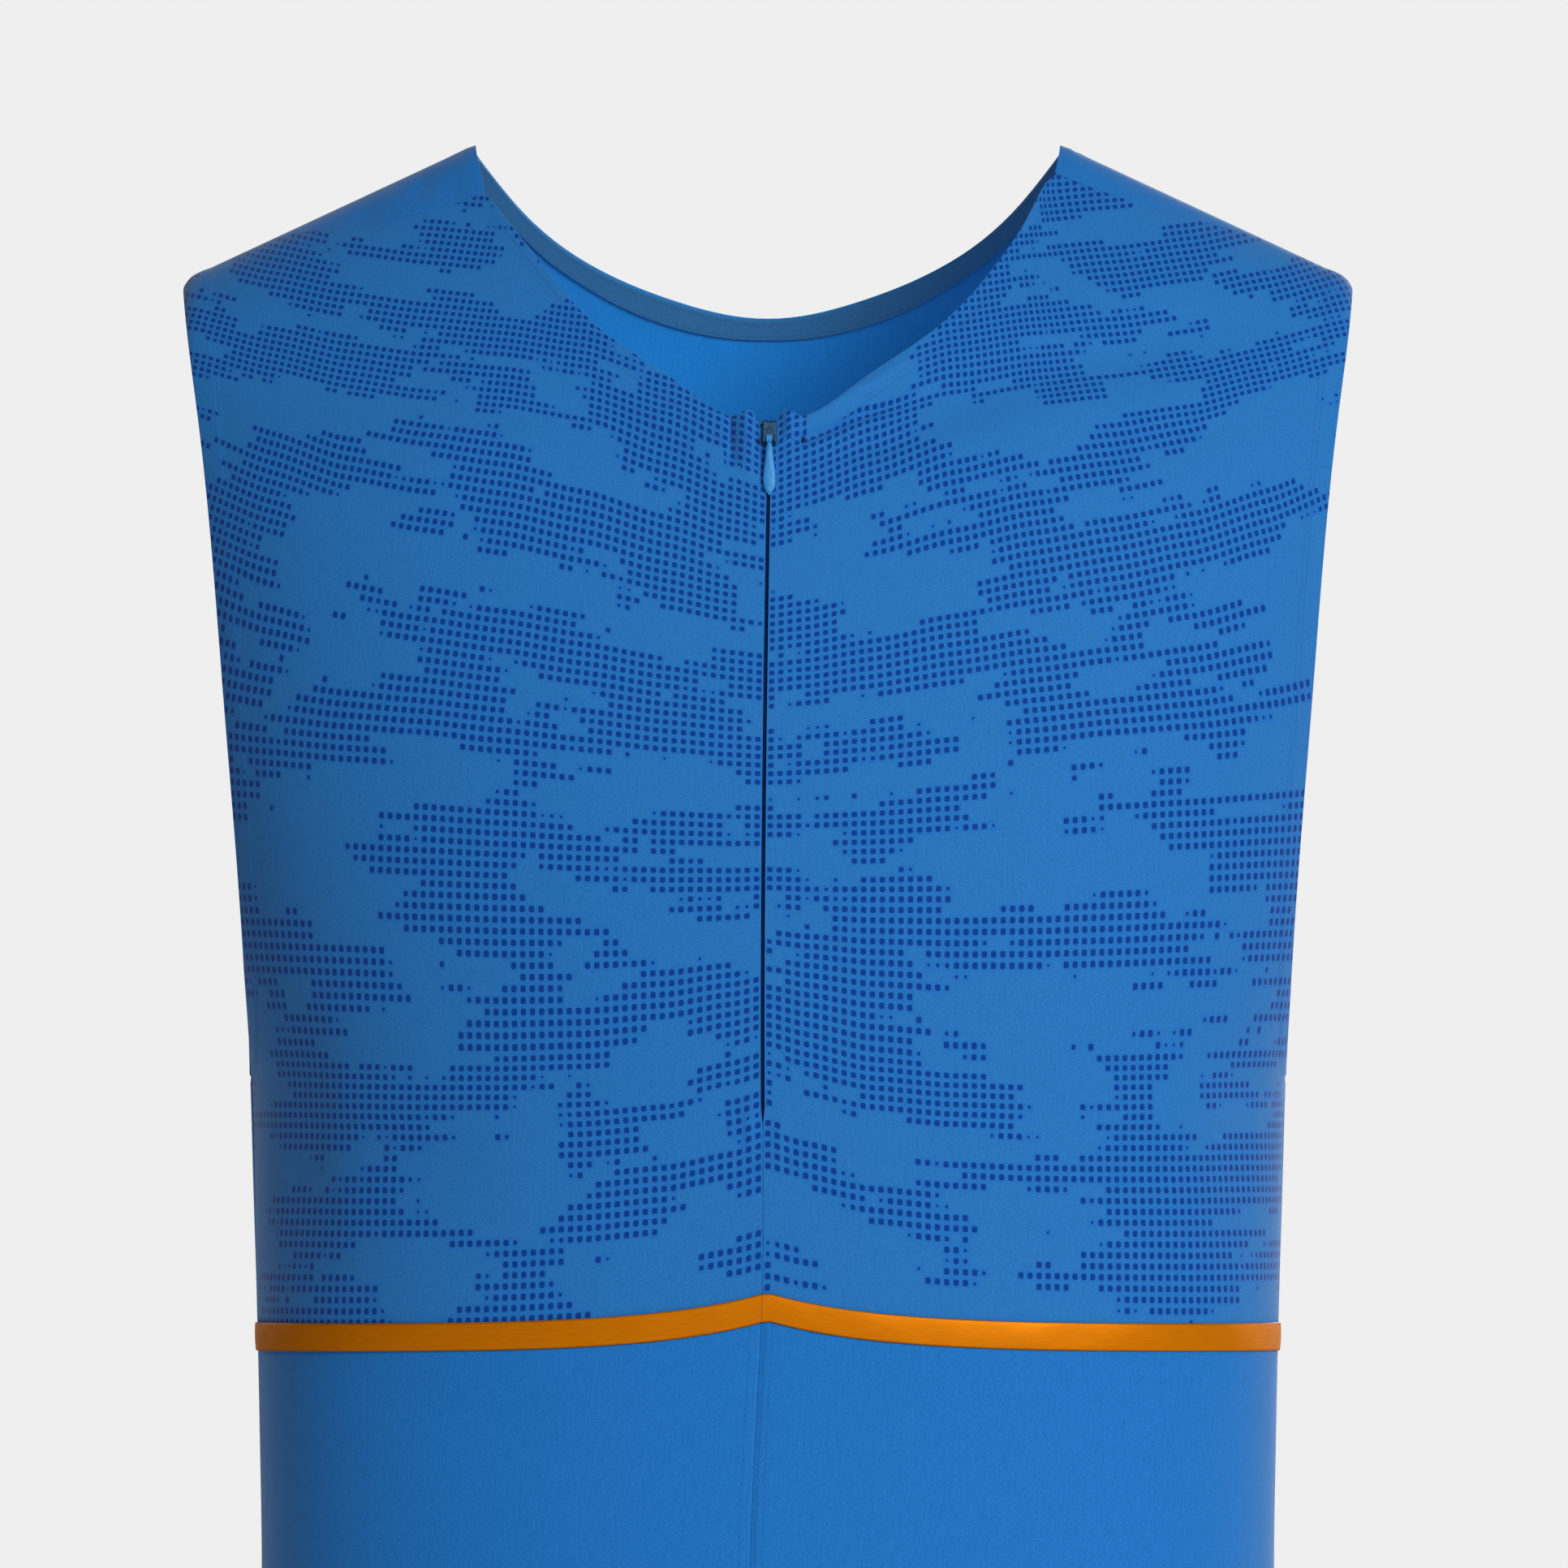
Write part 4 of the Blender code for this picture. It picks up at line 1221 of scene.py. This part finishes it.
@dataclass
class UpperFronts:
    """The two printed upper fronts."""

    columns: int = 84
    armhole_rows: int = 110
    waist_rows: int = 36
    zip_line: float = 0.0035
    zip_lines: int = 18
    fold_lines: tuple[float, ...] = (0.015, 0.02, 0.026, 0.033)
    neck_hem: float = 6.0
    neck_hem_lift: float = 0.24
    seam_rows_in: float = 6.2
    cad_armhole_rows: float = 20.0
    cad_waist_rows: float = 5.0
    pitch: tuple[float, float] = (3.25, 3.75)
    way_ease: float = 0.3
    counted_span: tuple[float, float] = (-460.0, 40.5)
    count_step: float = 0.5
    print_shift: tuple[float, float] = (-416.0, 247.5)
    rolls_reach: float = 15.0
    rolls_foot: float = -113.0
    rolls_slope: float = 0.25
    rolls_bias: float = 0.2
    turned_span: tuple[float, float] = (13.0, 50.0)
    turned_fade: float = 1.2
    turned_edge: tuple[tuple[float, float], ...] = ((4, -200), (8, -104), (31, -89.5), (46, -77), (52, -40))

    def cloth(self, side: Side) -> Cloth:
        """One front, from neckline and shoulder seam down to the waist seam.

        Args:
            side: the wearer's left or right.

        Returns:
            The cloth.
        """
        beside_zip = tuple(self.zip_line * step for step in range(1, self.zip_lines + 1))
        columns = stops(self.columns, beside_zip, SIDE_LINES)
        rows = stops(self.armhole_rows + self.waist_rows, (*NECK_LINES, *self.fold_lines))
        column, row = np.meshgrid(columns, rows)
        angle = RIGHT_ANGLE * column
        neckline = BODY.neckline(side)
        x = BODY.across(Face.FRONT, side, angle, BODY.armhole_top)
        for _ in range(SETTLING_STEPS):
            top = neckline(np.abs(x))
            near = np.abs(x) < BODY.neck_point_x
            x = BODY.across(Face.FRONT, side, angle, np.where(near, top, BODY.armhole_top))
        seam = BODY.shoulder_seam(side, x) + BODY.seam_gap / 2
        in_neck = column < NECK_PART - SLACK
        start = np.where(in_neck, BODY.walk_to(top, x), seam)
        foot = BODY.across(Face.FRONT, side, angle, BODY.waist)
        end = BODY.walk_to(BODY.waist_line(Face.FRONT, foot), foot)
        arm = BODY.walk_to(BODY.armhole_bottom, foot)
        at = row * (self.cad_armhole_rows + self.cad_waist_rows)
        along = closer_at_ends(np.clip(at / self.cad_armhole_rows, 0, 1))
        on = np.clip((at - self.cad_armhole_rows) / self.cad_waist_rows, 0, 1)
        walked = start + (arm - start) * along + (end - arm) * on
        points, normals = with_normals(partial(BODY.upper, side), angle, walked)
        return self.finish(side, points, normals, column)

    def finish(self, side: Side, points: Array, normals: Array, column: Array) -> Cloth:
        """Adds hems, creases and the places of the print.

        Args:
            side: which front.
            points: the grid on the form.
            normals: its normals.
            column: each point's share of the way out to the side.

        Returns:
            The cloth.
        """
        across = run_along(points[..., :2], 1)
        down = run_along(points, 0)
        height = points[..., 2]
        arm, side_seam = side_edges(height, across[:, -1:] - across)
        neck = np.where(column < NECK_PART + SLACK, down, FAR)
        hem = np.minimum(arm, neck)
        lift = upper_lift(points, down, arm, side_seam, hem_lift(neck, self.neck_hem, self.neck_hem_lift))
        shift = self.print_shift if side is Side.RIGHT else (0.0, 0.0)
        print_at = self.print_places(points, side.value * across) + np.array(shift)
        stitched = np.minimum(hem, side_seam + self.seam_rows_in)
        bias = self.print_bias(points)
        return Cloth(points, normals, print_at, hem, stitched, down, lift, print_bias=bias)

    def print_bias(self, points: Array) -> Array:
        """Where the print is surely there, and where it is left off.

        Args:
            points: the grid on the form.

        Returns:
            Over 0 on the rolls at the zip's top, under 0 on the plain turned edge beside them.
        """
        x, height = points[..., 0], points[..., 2]
        rolls = (np.abs(x) < self.rolls_reach) & (height > self.rolls_foot + self.rolls_slope * np.abs(x))
        turned = (x > self.turned_span[0]) & (x < self.turned_span[1])
        over_edge = eased((height - np.interp(x, *zip(*self.turned_edge))) / self.turned_fade)
        return self.rolls_bias * rolls - over_edge * turned

    def print_places(self, points: Array, across: Array) -> Array:
        """Places on the flat print, whose rows bend over the chest and fan out below it.

        Args:
            points: the grid on the form.
            across: the way out from the centre edge.

        Returns:
            The places, in mm of the flat print.
        """
        height, out = points[..., 2], np.abs(points[..., 0])
        at, rows, columns = np.array(PRINT_PITCH[::-1]).T
        rises = np.array([rise for _, rise in ROW_RISES[::-1]])
        by_way = np.stack([np.interp(height, at, rises[:, i]) for i in range(len(ROW_WAYS))], axis=-1)
        slot = np.clip(np.searchsorted(ROW_WAYS, out) - 1, 0, len(ROW_WAYS) - 2)
        ways = np.array(ROW_WAYS, float)
        share = np.clip((out - ways[slot]) / (ways[slot + 1] - ways[slot]), 0, 1)
        share = self.way_ease * eased(share) + (1 - self.way_ease) * share
        low = np.take_along_axis(by_way, slot[..., None], -1)[..., 0]
        high = np.take_along_axis(by_way, slot[..., None] + 1, -1)[..., 0]
        centre_height = height - (low + (high - low) * share)
        fine = np.arange(*self.counted_span, self.count_step)
        counted = np.cumsum(self.count_step / np.interp(fine, at, rows))
        row = np.interp(centre_height, fine, counted)
        column = across / np.interp(height, at, columns)
        return np.stack([column * self.pitch[0], row * self.pitch[1]], axis=-1)

    def build(self, effects: Effects) -> None:
        """Makes and dresses both fronts.

        Args:
            effects: the shared node groups.
        """
        outside = KnitFinish(
            "printed_knit",
            light=(0.030, 0.240, 0.67, 1.0),
            dark=(0.022, 0.200, 0.58, 1.0),
            printed=True,
            hem_rows=ARM_ROWS,
        ).material(effects)
        inside = KnitFinish("knit_reverse", light=(0.02, 0.23, 0.66, 1.0)).material(effects)
        for side in Side:
            label = side.name.lower()
            piece = self.cloth(side).build(f"printed_front_{label}")
            dress(piece, outside, inside)
            stand_for(piece, f"front_panel_{label}")


@dataclass
class UpperBack:
    """The plain back in one piece, which wraps forward over both shoulders."""

    half_columns: int = 84
    rows: int = 150
    over_rows: int = 16
    seam_rows_in: float = 6.2
    rim_hem: float = 9.0
    rim_hem_lift: float = 0.2
    shoulder_wrap: float = 26.0
    armhole_part: float = 0.8

    def cloth(self) -> Cloth:
        """The back, from the waist seam to the neck rim and the shoulder seams.

        Returns:
            The cloth.
        """
        half = stops(self.half_columns, (), SIDE_LINES)
        columns = np.concatenate([-half[:0:-1], half])
        up = stops(self.rows, (), NECK_LINES)
        over = np.linspace(0, 1, self.over_rows + 1)[1:]
        rows = np.concatenate([up, 1 + over])
        column, row = np.meshgrid(columns, rows)
        angle = RIGHT_ANGLE * column
        x, rim = BODY.back_rim(angle)
        left_seam, right_seam = (BODY.shoulder_seam(side, x) for side in Side)
        seam = np.where(x > 0, left_seam, right_seam) - BODY.seam_gap / 2
        beyond = np.maximum(np.abs(x) / BODY.shoulder_tip_x - BODY.neck_share, 0) / (1 - BODY.neck_share)
        top = rim + (seam - self.shoulder_wrap - rim) * beyond
        foot = BODY.half_width(BODY.waist) * np.sin(np.radians(angle))
        bottom = -BODY.walk_to(BODY.waist_line(Face.BACK, foot), foot)
        arm_foot = -BODY.walk_to(BODY.armhole_bottom, foot)
        along = closer_at_ends(np.clip((1 - row) / self.armhole_part, 0, 1))
        on = np.clip((1 - row - self.armhole_part) / (1 - self.armhole_part), 0, 1)
        past = np.clip(row - 1, 0, 1)
        walked = top + (arm_foot - top) * along + (bottom - arm_foot) * on + (seam - top) * past
        points, normals = with_normals(partial(BODY.upper, None), angle, walked)
        across, down = runs(points)
        arm, side_seam = side_edges(points[..., 2], np.minimum(across[:, -1:] - across, across))
        rim_row = len(up) - 1
        from_rim = np.where(np.abs(column) < NECK_PART + SLACK, np.abs(down[rim_row] - down), FAR)
        from_corner = np.abs(np.abs(x) - BODY.neck_share * BODY.shoulder_tip_x)
        strip = np.where((row > 1) & (np.abs(column) > NECK_PART - SLACK), from_corner, FAR)
        neck = np.minimum(from_rim, strip)
        lift = upper_lift(points, down, arm, side_seam, hem_lift(neck, self.rim_hem, self.rim_hem_lift))
        keep = np.ones(column.shape, bool)
        in_neck = (column > -NECK_PART - SLACK) & (column < NECK_PART - SLACK)
        keep[rim_row:] = ~in_neck[rim_row:]
        centre_run = across - across[:, len(half) - 1 : len(half)]
        print_at = np.stack([centre_run, BODY.ridge(x) - np.abs(walked)], axis=-1)
        hem = np.minimum(arm, neck)
        stitched = np.minimum(arm, side_seam + self.seam_rows_in)
        return Cloth(points, normals, print_at, hem, stitched, down, lift, keep=keep)

    def build(self, effects: Effects) -> None:
        """Makes and dresses the back.

        Args:
            effects: the shared node groups.
        """
        outside = KnitFinish("plain_knit", hem_rows=ARM_ROWS).material(effects)
        # The back's inside is painted paler than the other reverses: painted light that offsets the shade
        # inside the neck opening
        inside = KnitFinish("back_reverse", light=(0.018, 0.30, 0.80, 1.0), dark=(0.014, 0.26, 0.71, 1.0))
        piece = self.cloth().build("plain_back")
        dress(piece, outside, inside.material(effects))
        stand_for(piece, "back_panel")


@dataclass
class NeckFacing:
    """The band inside the back neck rim."""

    columns: int = 96
    rows: int = 12
    behind: float = 1.3
    lower_edge: tuple[tuple[float, float], ...] = (
        (-36, -59.8), (0, -65.2), (36, -59.8), (51, -53.6), (65.5, -45), (77, -36.5), (85, -29), (100, -17),
    )

    def cloth(self) -> Cloth:
        """The band, from the rim to its free edge, which sinks toward the neck points.

        Returns:
            The cloth.
        """
        columns = np.linspace(-NECK_PART, NECK_PART, self.columns + 1)
        column, row = np.meshgrid(columns, stops(self.rows, (0.03, 0.07), (0.03,)))
        angle = RIGHT_ANGLE * column
        x, rim = BODY.back_rim(angle)
        edge = Spline(*zip(*self.lower_edge))(np.abs(x))
        walked = rim + (-BODY.walk_to(edge, x) - rim) * row
        points, normals = with_normals(partial(BODY.upper, None), angle, walked)
        across, down = runs(points)
        hem = np.minimum(down, down[-1:] - down)
        lift = -self.behind - drawn_in(points)
        print_at = np.stack([across, -down], axis=-1)
        return Cloth(points, normals, print_at, hem, hem, across, lift)

    def build(self, effects: Effects) -> None:
        """Makes and dresses the facing.

        Args:
            effects: the shared node groups.
        """
        piece = self.cloth().build("neck_facing_band")
        # Darker stitch rows 1.6 mm inside both edges; the row by the lower edge also serves as painted
        # shadow, the thin shade line that edge casts on the back
        finish = KnitFinish(
            "facing_knit", light=(0.045, 0.22, 0.45, 1.0), dark=(0.036, 0.18, 0.38, 1.0), hem_rows=(1.6,)
        ).material(effects)
        dress(piece, finish, finish)
        stand_for(piece, "neck_facing")


@dataclass
class Shorts:
    """The plain lower half in four quarters, each with half a leg."""

    columns: int = 66
    rows: int = 150
    hip_part: float = 9 / 21
    fork_part: float = 6 / 21
    leg_hem: float = 22.0
    leg_hem_lift: float = 0.3
    leg_rows: tuple[float, float] = (18.6, 21.0)
    seam_rows_in: float = 17.1

    def cloth(self, face: Face, side: Side) -> Cloth:
        """One quarter, from the waist seam down to the leg hem.

        Args:
            face: front or back.
            side: the wearer's left or right.

        Returns:
            The cloth.
        """
        seam_lines = (0.003, 0.006, 0.0095)
        columns = stops(self.columns, seam_lines, seam_lines)
        rows = stops(self.rows, (), (0.0008, 0.002, 0.004))
        column, row = np.meshgrid(columns, rows)
        angle = RIGHT_ANGLE * column
        waist = BODY.across(face, side, angle, BODY.waist)
        top = BODY.waist_line(face, waist)
        hip = top + (BODY.fork_start - top) * np.clip(row / self.hip_part, 0, 1)
        into_fork = np.clip((row - self.hip_part) / self.fork_part, 0, 1)
        evenly = into_fork * column + np.sin(np.radians(RIGHT_ANGLE * into_fork)) * (1 - column)
        leg_part = 1 - self.hip_part - self.fork_part
        below = np.clip((row - self.hip_part - self.fork_part) / leg_part, 0, 1)
        height = hip + (BODY.crotch - BODY.fork_start) * evenly + (BODY.leg_hem - BODY.crotch) * below
        points, normals = with_normals(partial(BODY.lower, face, side), angle, height)
        across, down = runs(points)
        hem = down[-1:] - down
        seam = np.minimum(across, across[:, -1:] - across)
        pull = stitch_pull(hem, across, row=self.leg_hem - 1.5, depth=0.15, pitch=8.0)
        lift = hem_lift(hem, self.leg_hem, self.leg_hem_lift) - pull - seam_groove(seam) - drawn_in(points)
        print_at = np.stack([side.value * across, points[..., 2]], axis=-1)
        stitched = np.minimum(hem, seam + self.seam_rows_in)
        run = np.where(hem < seam + self.seam_rows_in, across, down)
        return Cloth(points, normals, print_at, hem, stitched, run, lift)

    def build(self, effects: Effects) -> None:
        """Makes and dresses the four quarters.

        Args:
            effects: the shared node groups.
        """
        outside = KnitFinish("shorts_knit", hem_rows=self.leg_rows).material(effects)
        inside = KnitFinish("shorts_reverse", light=(0.02, 0.22, 0.66, 1.0)).material(effects)
        for face in Face:
            for side in Side:
                label = f"{face.name.lower()}_{side.name.lower()}"
                piece = self.cloth(face, side).build(f"plain_shorts_{label}")
                dress(piece, outside, inside)
                stand_for(piece, f"shorts_{label}")


@dataclass
class WaistBand:
    """The satin band over the waist seam."""

    height: float = 9.7
    columns: int = 90
    rows: int = 10
    stands_off: float = 0.1
    crown: float = 0.3
    ripple: float = 0.12
    ripple_runs: tuple[float, float] = (5.3, 23.0)
    thickness: float = 0.55

    def cloth(self, face: Face, side: Side | None) -> Cloth:
        """One front half of the band, or the whole back.

        Args:
            face: front or back.
            side: the wearer's left or right, or None for the back.

        Returns:
            The cloth.
        """
        low = 0 if side else -1
        columns = np.linspace(low, 1, self.columns * (1 - low) + 1)
        rows = stops(self.rows, (0.02, 0.05), (0.02, 0.05))
        column, row = np.meshgrid(columns, rows)
        angle = RIGHT_ANGLE * column
        if side:
            foot = BODY.across(Face.FRONT, side, angle, BODY.waist)
        else:
            foot = BODY.half_width(BODY.waist) * np.sin(np.radians(angle))
        line = BODY.waist_line(face, foot) + self.height * (0.5 - row)
        walked = BODY.walk_to(line, foot) * -face.value
        points, normals = with_normals(partial(BODY.upper, side), angle, walked)
        across, down = runs(points)
        hem = np.minimum(down, down[-1:] - down)
        crown = self.crown * np.sin(np.pi * row) ** 0.5
        short, long = self.ripple_runs
        ripple = self.ripple * np.sin(across / short) * np.sin(across / long) * np.sin(np.pi * row)
        lift = self.stands_off + self.thickness + crown + ripple - drawn_in(points)
        print_at = np.stack([across, -down], axis=-1)
        return Cloth(points, normals, print_at, hem, hem, across, lift, thickness=self.thickness)

    def build(self, effects: Effects) -> None:
        """Makes and dresses the three lengths.

        Args:
            effects: the shared node groups, which the band does without.
        """
        satin = SatinFinish().material()
        for face, side in ((Face.FRONT, Side.LEFT), (Face.FRONT, Side.RIGHT), (Face.BACK, None)):
            label = f"front_{side.name.lower()}" if side else "back"
            piece = self.cloth(face, side).build(f"satin_band_{label}")
            dress(piece, satin, satin)
            stand_for(piece, f"waist_band_{label}")


@dataclass
class ZipFastener:
    """Tapes and coil of the concealed zip, with its slider and pull."""

    top: float = -95.0
    bottom: float = -342.0
    tape_width: float = 12.0
    tape_rows: int = 120
    tape_columns: int = 10
    behind: float = 1.3
    tape_thickness: float = 0.7
    coil_pitch: float = 1.1
    coil_behind: float = 1.5
    coil_span: tuple[float, float] = (-107.0, -336.0)
    tooth: tuple[float, float, float] = (2.3, 1.0, 0.42)
    tooth_bevel: float = 0.12
    tooth_aside: float = 0.55

    def tape(self, side: Side) -> Cloth:
        """One tape, behind the centre edge of its front.

        Args:
            side: the wearer's left or right.

        Returns:
            The cloth.
        """
        columns = np.linspace(0, 1, self.tape_columns + 1)
        column, row = np.meshgrid(columns, np.linspace(0, 1, self.tape_rows + 1))
        height = self.top + (self.bottom - self.top) * row
        start = BODY.centre(height) + side.value * BODY.slit(height)
        x = BODY.centre(height) + side.value * (BODY.seam_gap / 2 + self.tape_width * column)
        span = side.value * BODY.half_width(height) - start
        angle = np.degrees(np.arcsin(np.clip((x - start) / span, -1, 1)))
        walked = BODY.walk_to(height, x)
        points, normals = with_normals(partial(BODY.upper, side), angle, walked)
        across, down = runs(points)
        lift = -self.behind - crease_depth(MAIN_FOLDS, points)
        print_at = np.stack([across, -down], axis=-1)
        hem = np.full(across.shape, FAR)
        return Cloth(points, normals, print_at, hem, hem, down, lift, thickness=self.tape_thickness)

    def coil(self) -> bpy.types.Object:
        """The closed coil, a row of small interlocked teeth behind the slit.

        Returns:
            The coil's object.
        """
        mesh = bmesh.new()
        heights = np.arange(*self.coil_span, -self.coil_pitch / 2)
        centre = BODY.centre(heights)
        places = BODY.torso(Face.FRONT, centre, heights)
        for number, place in enumerate(places):
            side = 1 if number % 2 else -1
            tooth = bmesh.ops.create_cube(mesh, size=1)["verts"]
            bmesh.ops.scale(mesh, vec=[edge * MM for edge in self.tooth], verts=tooth)
            edges = list({edge for vert in tooth for edge in vert.link_edges})
            width = self.tooth_bevel * MM
            bmesh.ops.bevel(
                mesh, geom=edges, offset=width, segments=1, profile=0.5, affect="EDGES", material=-1
            )
            tooth = mesh.verts[-BEVELLED_CORNERS:]
            middle = Vector(place) + Vector((side * self.tooth_aside, self.coil_behind, 0))
            bmesh.ops.translate(mesh, vec=middle * MM, verts=tooth)
        return object_from(mesh, "zip_coil")

    def build(self, effects: Effects) -> None:
        """Makes the tapes and coil, and dresses slider and pull.

        Args:
            effects: the shared node groups.
        """
        weave = KnitFinish(
            "zip_tape",
            light=(0.006, 0.028, 0.13, 1.0),
            dark=(0.003, 0.014, 0.07, 1.0),
            roughness=0.75,
            sheen=0.1,
        ).material(effects)
        for side in Side:
            label = side.name.lower()
            piece = self.tape(side).build(f"woven_tape_{label}")
            dress(piece, weave, weave)
            stand_for(piece, f"zip_tape_{label}")
        coil = self.coil()
        teeth = HardFinish("coil", (0.002, 0.022, 0.11, 1), (0.004, 0.03, 0.14, 1), 0.6, 0.0, 0.05)
        coil.data.materials.append(teeth.material())
        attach(coil, "garment")
        steel = HardFinish("slider_metal", (0.045, 0.12, 0.22, 1), (0.02, 0.055, 0.11, 1), 0.32, 0.8)
        lacquer = HardFinish("pull_lacquer", (0.034, 0.32, 0.80, 1), (0.027, 0.275, 0.71, 1), 0.4, 0.0)
        for node, finish in (("zip_slider", steel), ("zip_pull", lacquer)):
            material = finish.material()
            for slot in bpy.data.objects[node].material_slots:
                slot.material = material


@dataclass
class Studio:
    """Pale room, soft light and the camera."""

    frame_centre: tuple[float, float] = (0.0055, -0.218)
    frame_width: float = 0.5359
    distance: float = 20.0
    floor_height: float = -0.8835
    floor_radius: float = 1.8
    floor_fades_from: float = 0.5

    def floor(self) -> None:
        """A pale disc under the suit, which fades into the room."""
        mesh = bmesh.new()
        bmesh.ops.create_circle(mesh, cap_ends=True, segments=96, radius=self.floor_radius)
        bmesh.ops.translate(mesh, vec=(0, 0, self.floor_height), verts=mesh.verts)
        disc = object_from(mesh, "studio_floor")
        material, graph, shader = new_material("pale_floor")
        place = graph.add("ShaderNodeTexCoord").outputs["Object"]
        flat = graph.vector("MULTIPLY", place, (1.0, 1.0, 0.0))
        reach = graph.add("ShaderNodeVectorMath", {0: flat}, operation="LENGTH").outputs["Value"]
        graph.feed_all(shader, {
            "Base Color": (0.9, 0.9, 0.9, 1.0),
            "Roughness": 0.9,
            "Emission Color": (1.0, 1.0, 1.0, 1.0),
            "Emission Strength": 0.15,
            "Alpha": graph.smooth(reach, self.floor_radius, self.floor_fades_from),
        })
        disc.data.materials.append(material)

    def light(self, name: str, place: Vector, target: Vector, size: float, watts: float) -> None:
        """A soft square lamp.

        Args:
            name: the lamp's name.
            place: where it stands.
            target: what it faces.
            size: its edge in metres.
            watts: its power.
        """
        data = bpy.data.lights.new(name, "AREA")
        data.size = size
        data.energy = watts
        lamp = bpy.data.objects.new(name, data)
        lamp.location = place
        lamp.visible_camera = False
        lamp.rotation_euler = (target - place).to_track_quat("-Z", "Y").to_euler()
        bpy.context.scene.collection.objects.link(lamp)

    def room(self) -> None:
        """A room that the camera sees paler than it lights the cloth."""
        world = bpy.data.worlds.new("pale_room")
        bpy.context.scene.world = world
        world.use_nodes = True
        graph = Graph(world.node_tree)
        world.node_tree.nodes.clear()
        seen = graph.add("ShaderNodeBackground", {"Color": (0.863, 0.863, 0.863, 1), "Strength": 1.0})
        way = graph.add("ShaderNodeTexCoord").outputs["Generated"]
        parts = graph.add("ShaderNodeSeparateXYZ", {"Vector": way}).outputs
        level = graph.smooth(parts["Z"], 0.75, 0.1)
        rear = graph.math("MULTIPLY", graph.smooth(parts["Y"], -0.1, 0.9), level)
        rear = graph.math("MULTIPLY", rear, graph.smooth(parts["X"], -0.9, 0.5))
        strength = graph.math("MULTIPLY_ADD", rear, 0.38, 0.058)
        lit = graph.add("ShaderNodeBackground", {"Color": (1.0, 1.0, 1.0, 1), "Strength": strength})
        path = graph.add("ShaderNodeLightPath")
        backgrounds = {0: path.outputs["Is Camera Ray"], 1: lit.outputs[0], 2: seen.outputs[0]}
        mixed = graph.add("ShaderNodeMixShader", backgrounds)
        graph.add("ShaderNodeOutputWorld", {"Surface": mixed.outputs[0]})

    def build(self) -> None:
        """Sets floor, room, lamps and camera."""
        self.floor()
        self.room()
        chest = Vector((0.0, 0.0, -0.3))
        self.light("key", Vector((1.7, -2.7, 0.9)), chest, 1.2, 59)
        self.light("front", Vector((1.0, -3.4, 0.5)), chest, 1.4, 13)
        self.light("high", Vector((-0.2, -1.0, 0.5)), Vector((0.0, -0.1, -0.1)), 0.5, 1.4)
        # What the thin knit lets through
        self.light("inner_glow", Vector((0.0, -0.03, -0.28)), Vector((0.0, 0.05, 0.0)), 0.14, 0.068)
        self.light("back_left", Vector((-1.8, 1.9, 0.6)), chest, 1.3, 9)
        self.light("back_right", Vector((2.1, 1.5, 0.5)), chest, 1.3, 14)
        self.light("back_high", Vector((0.7, 2.5, 0.5)), Vector((0.0, 0.1, -0.5)), 0.6, 17)
        data = bpy.data.cameras.new("camera")
        data.sensor_width = 36.0
        data.lens = data.sensor_width * self.distance / self.frame_width
        camera = bpy.data.objects.new("camera", data)
        camera.location = (self.frame_centre[0], -self.distance, self.frame_centre[1])
        camera.rotation_euler = (math.pi / 2, 0, 0)
        bpy.context.scene.collection.objects.link(camera)
        bpy.context.scene.camera = camera
        bpy.context.scene.view_settings.view_transform = "Standard"


def main() -> None:
    """Dresses the frame piece by piece and sets the studio."""
    logging.basicConfig(level=logging.INFO, format="%(name)s: %(message)s")
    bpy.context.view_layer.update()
    effects = Effects()
    for part in (UpperFronts(), UpperBack(), NeckFacing(), Shorts(), WaistBand(), ZipFastener()):
        part.build(effects)
    Studio().build()


if __name__ == "__main__":
    main()
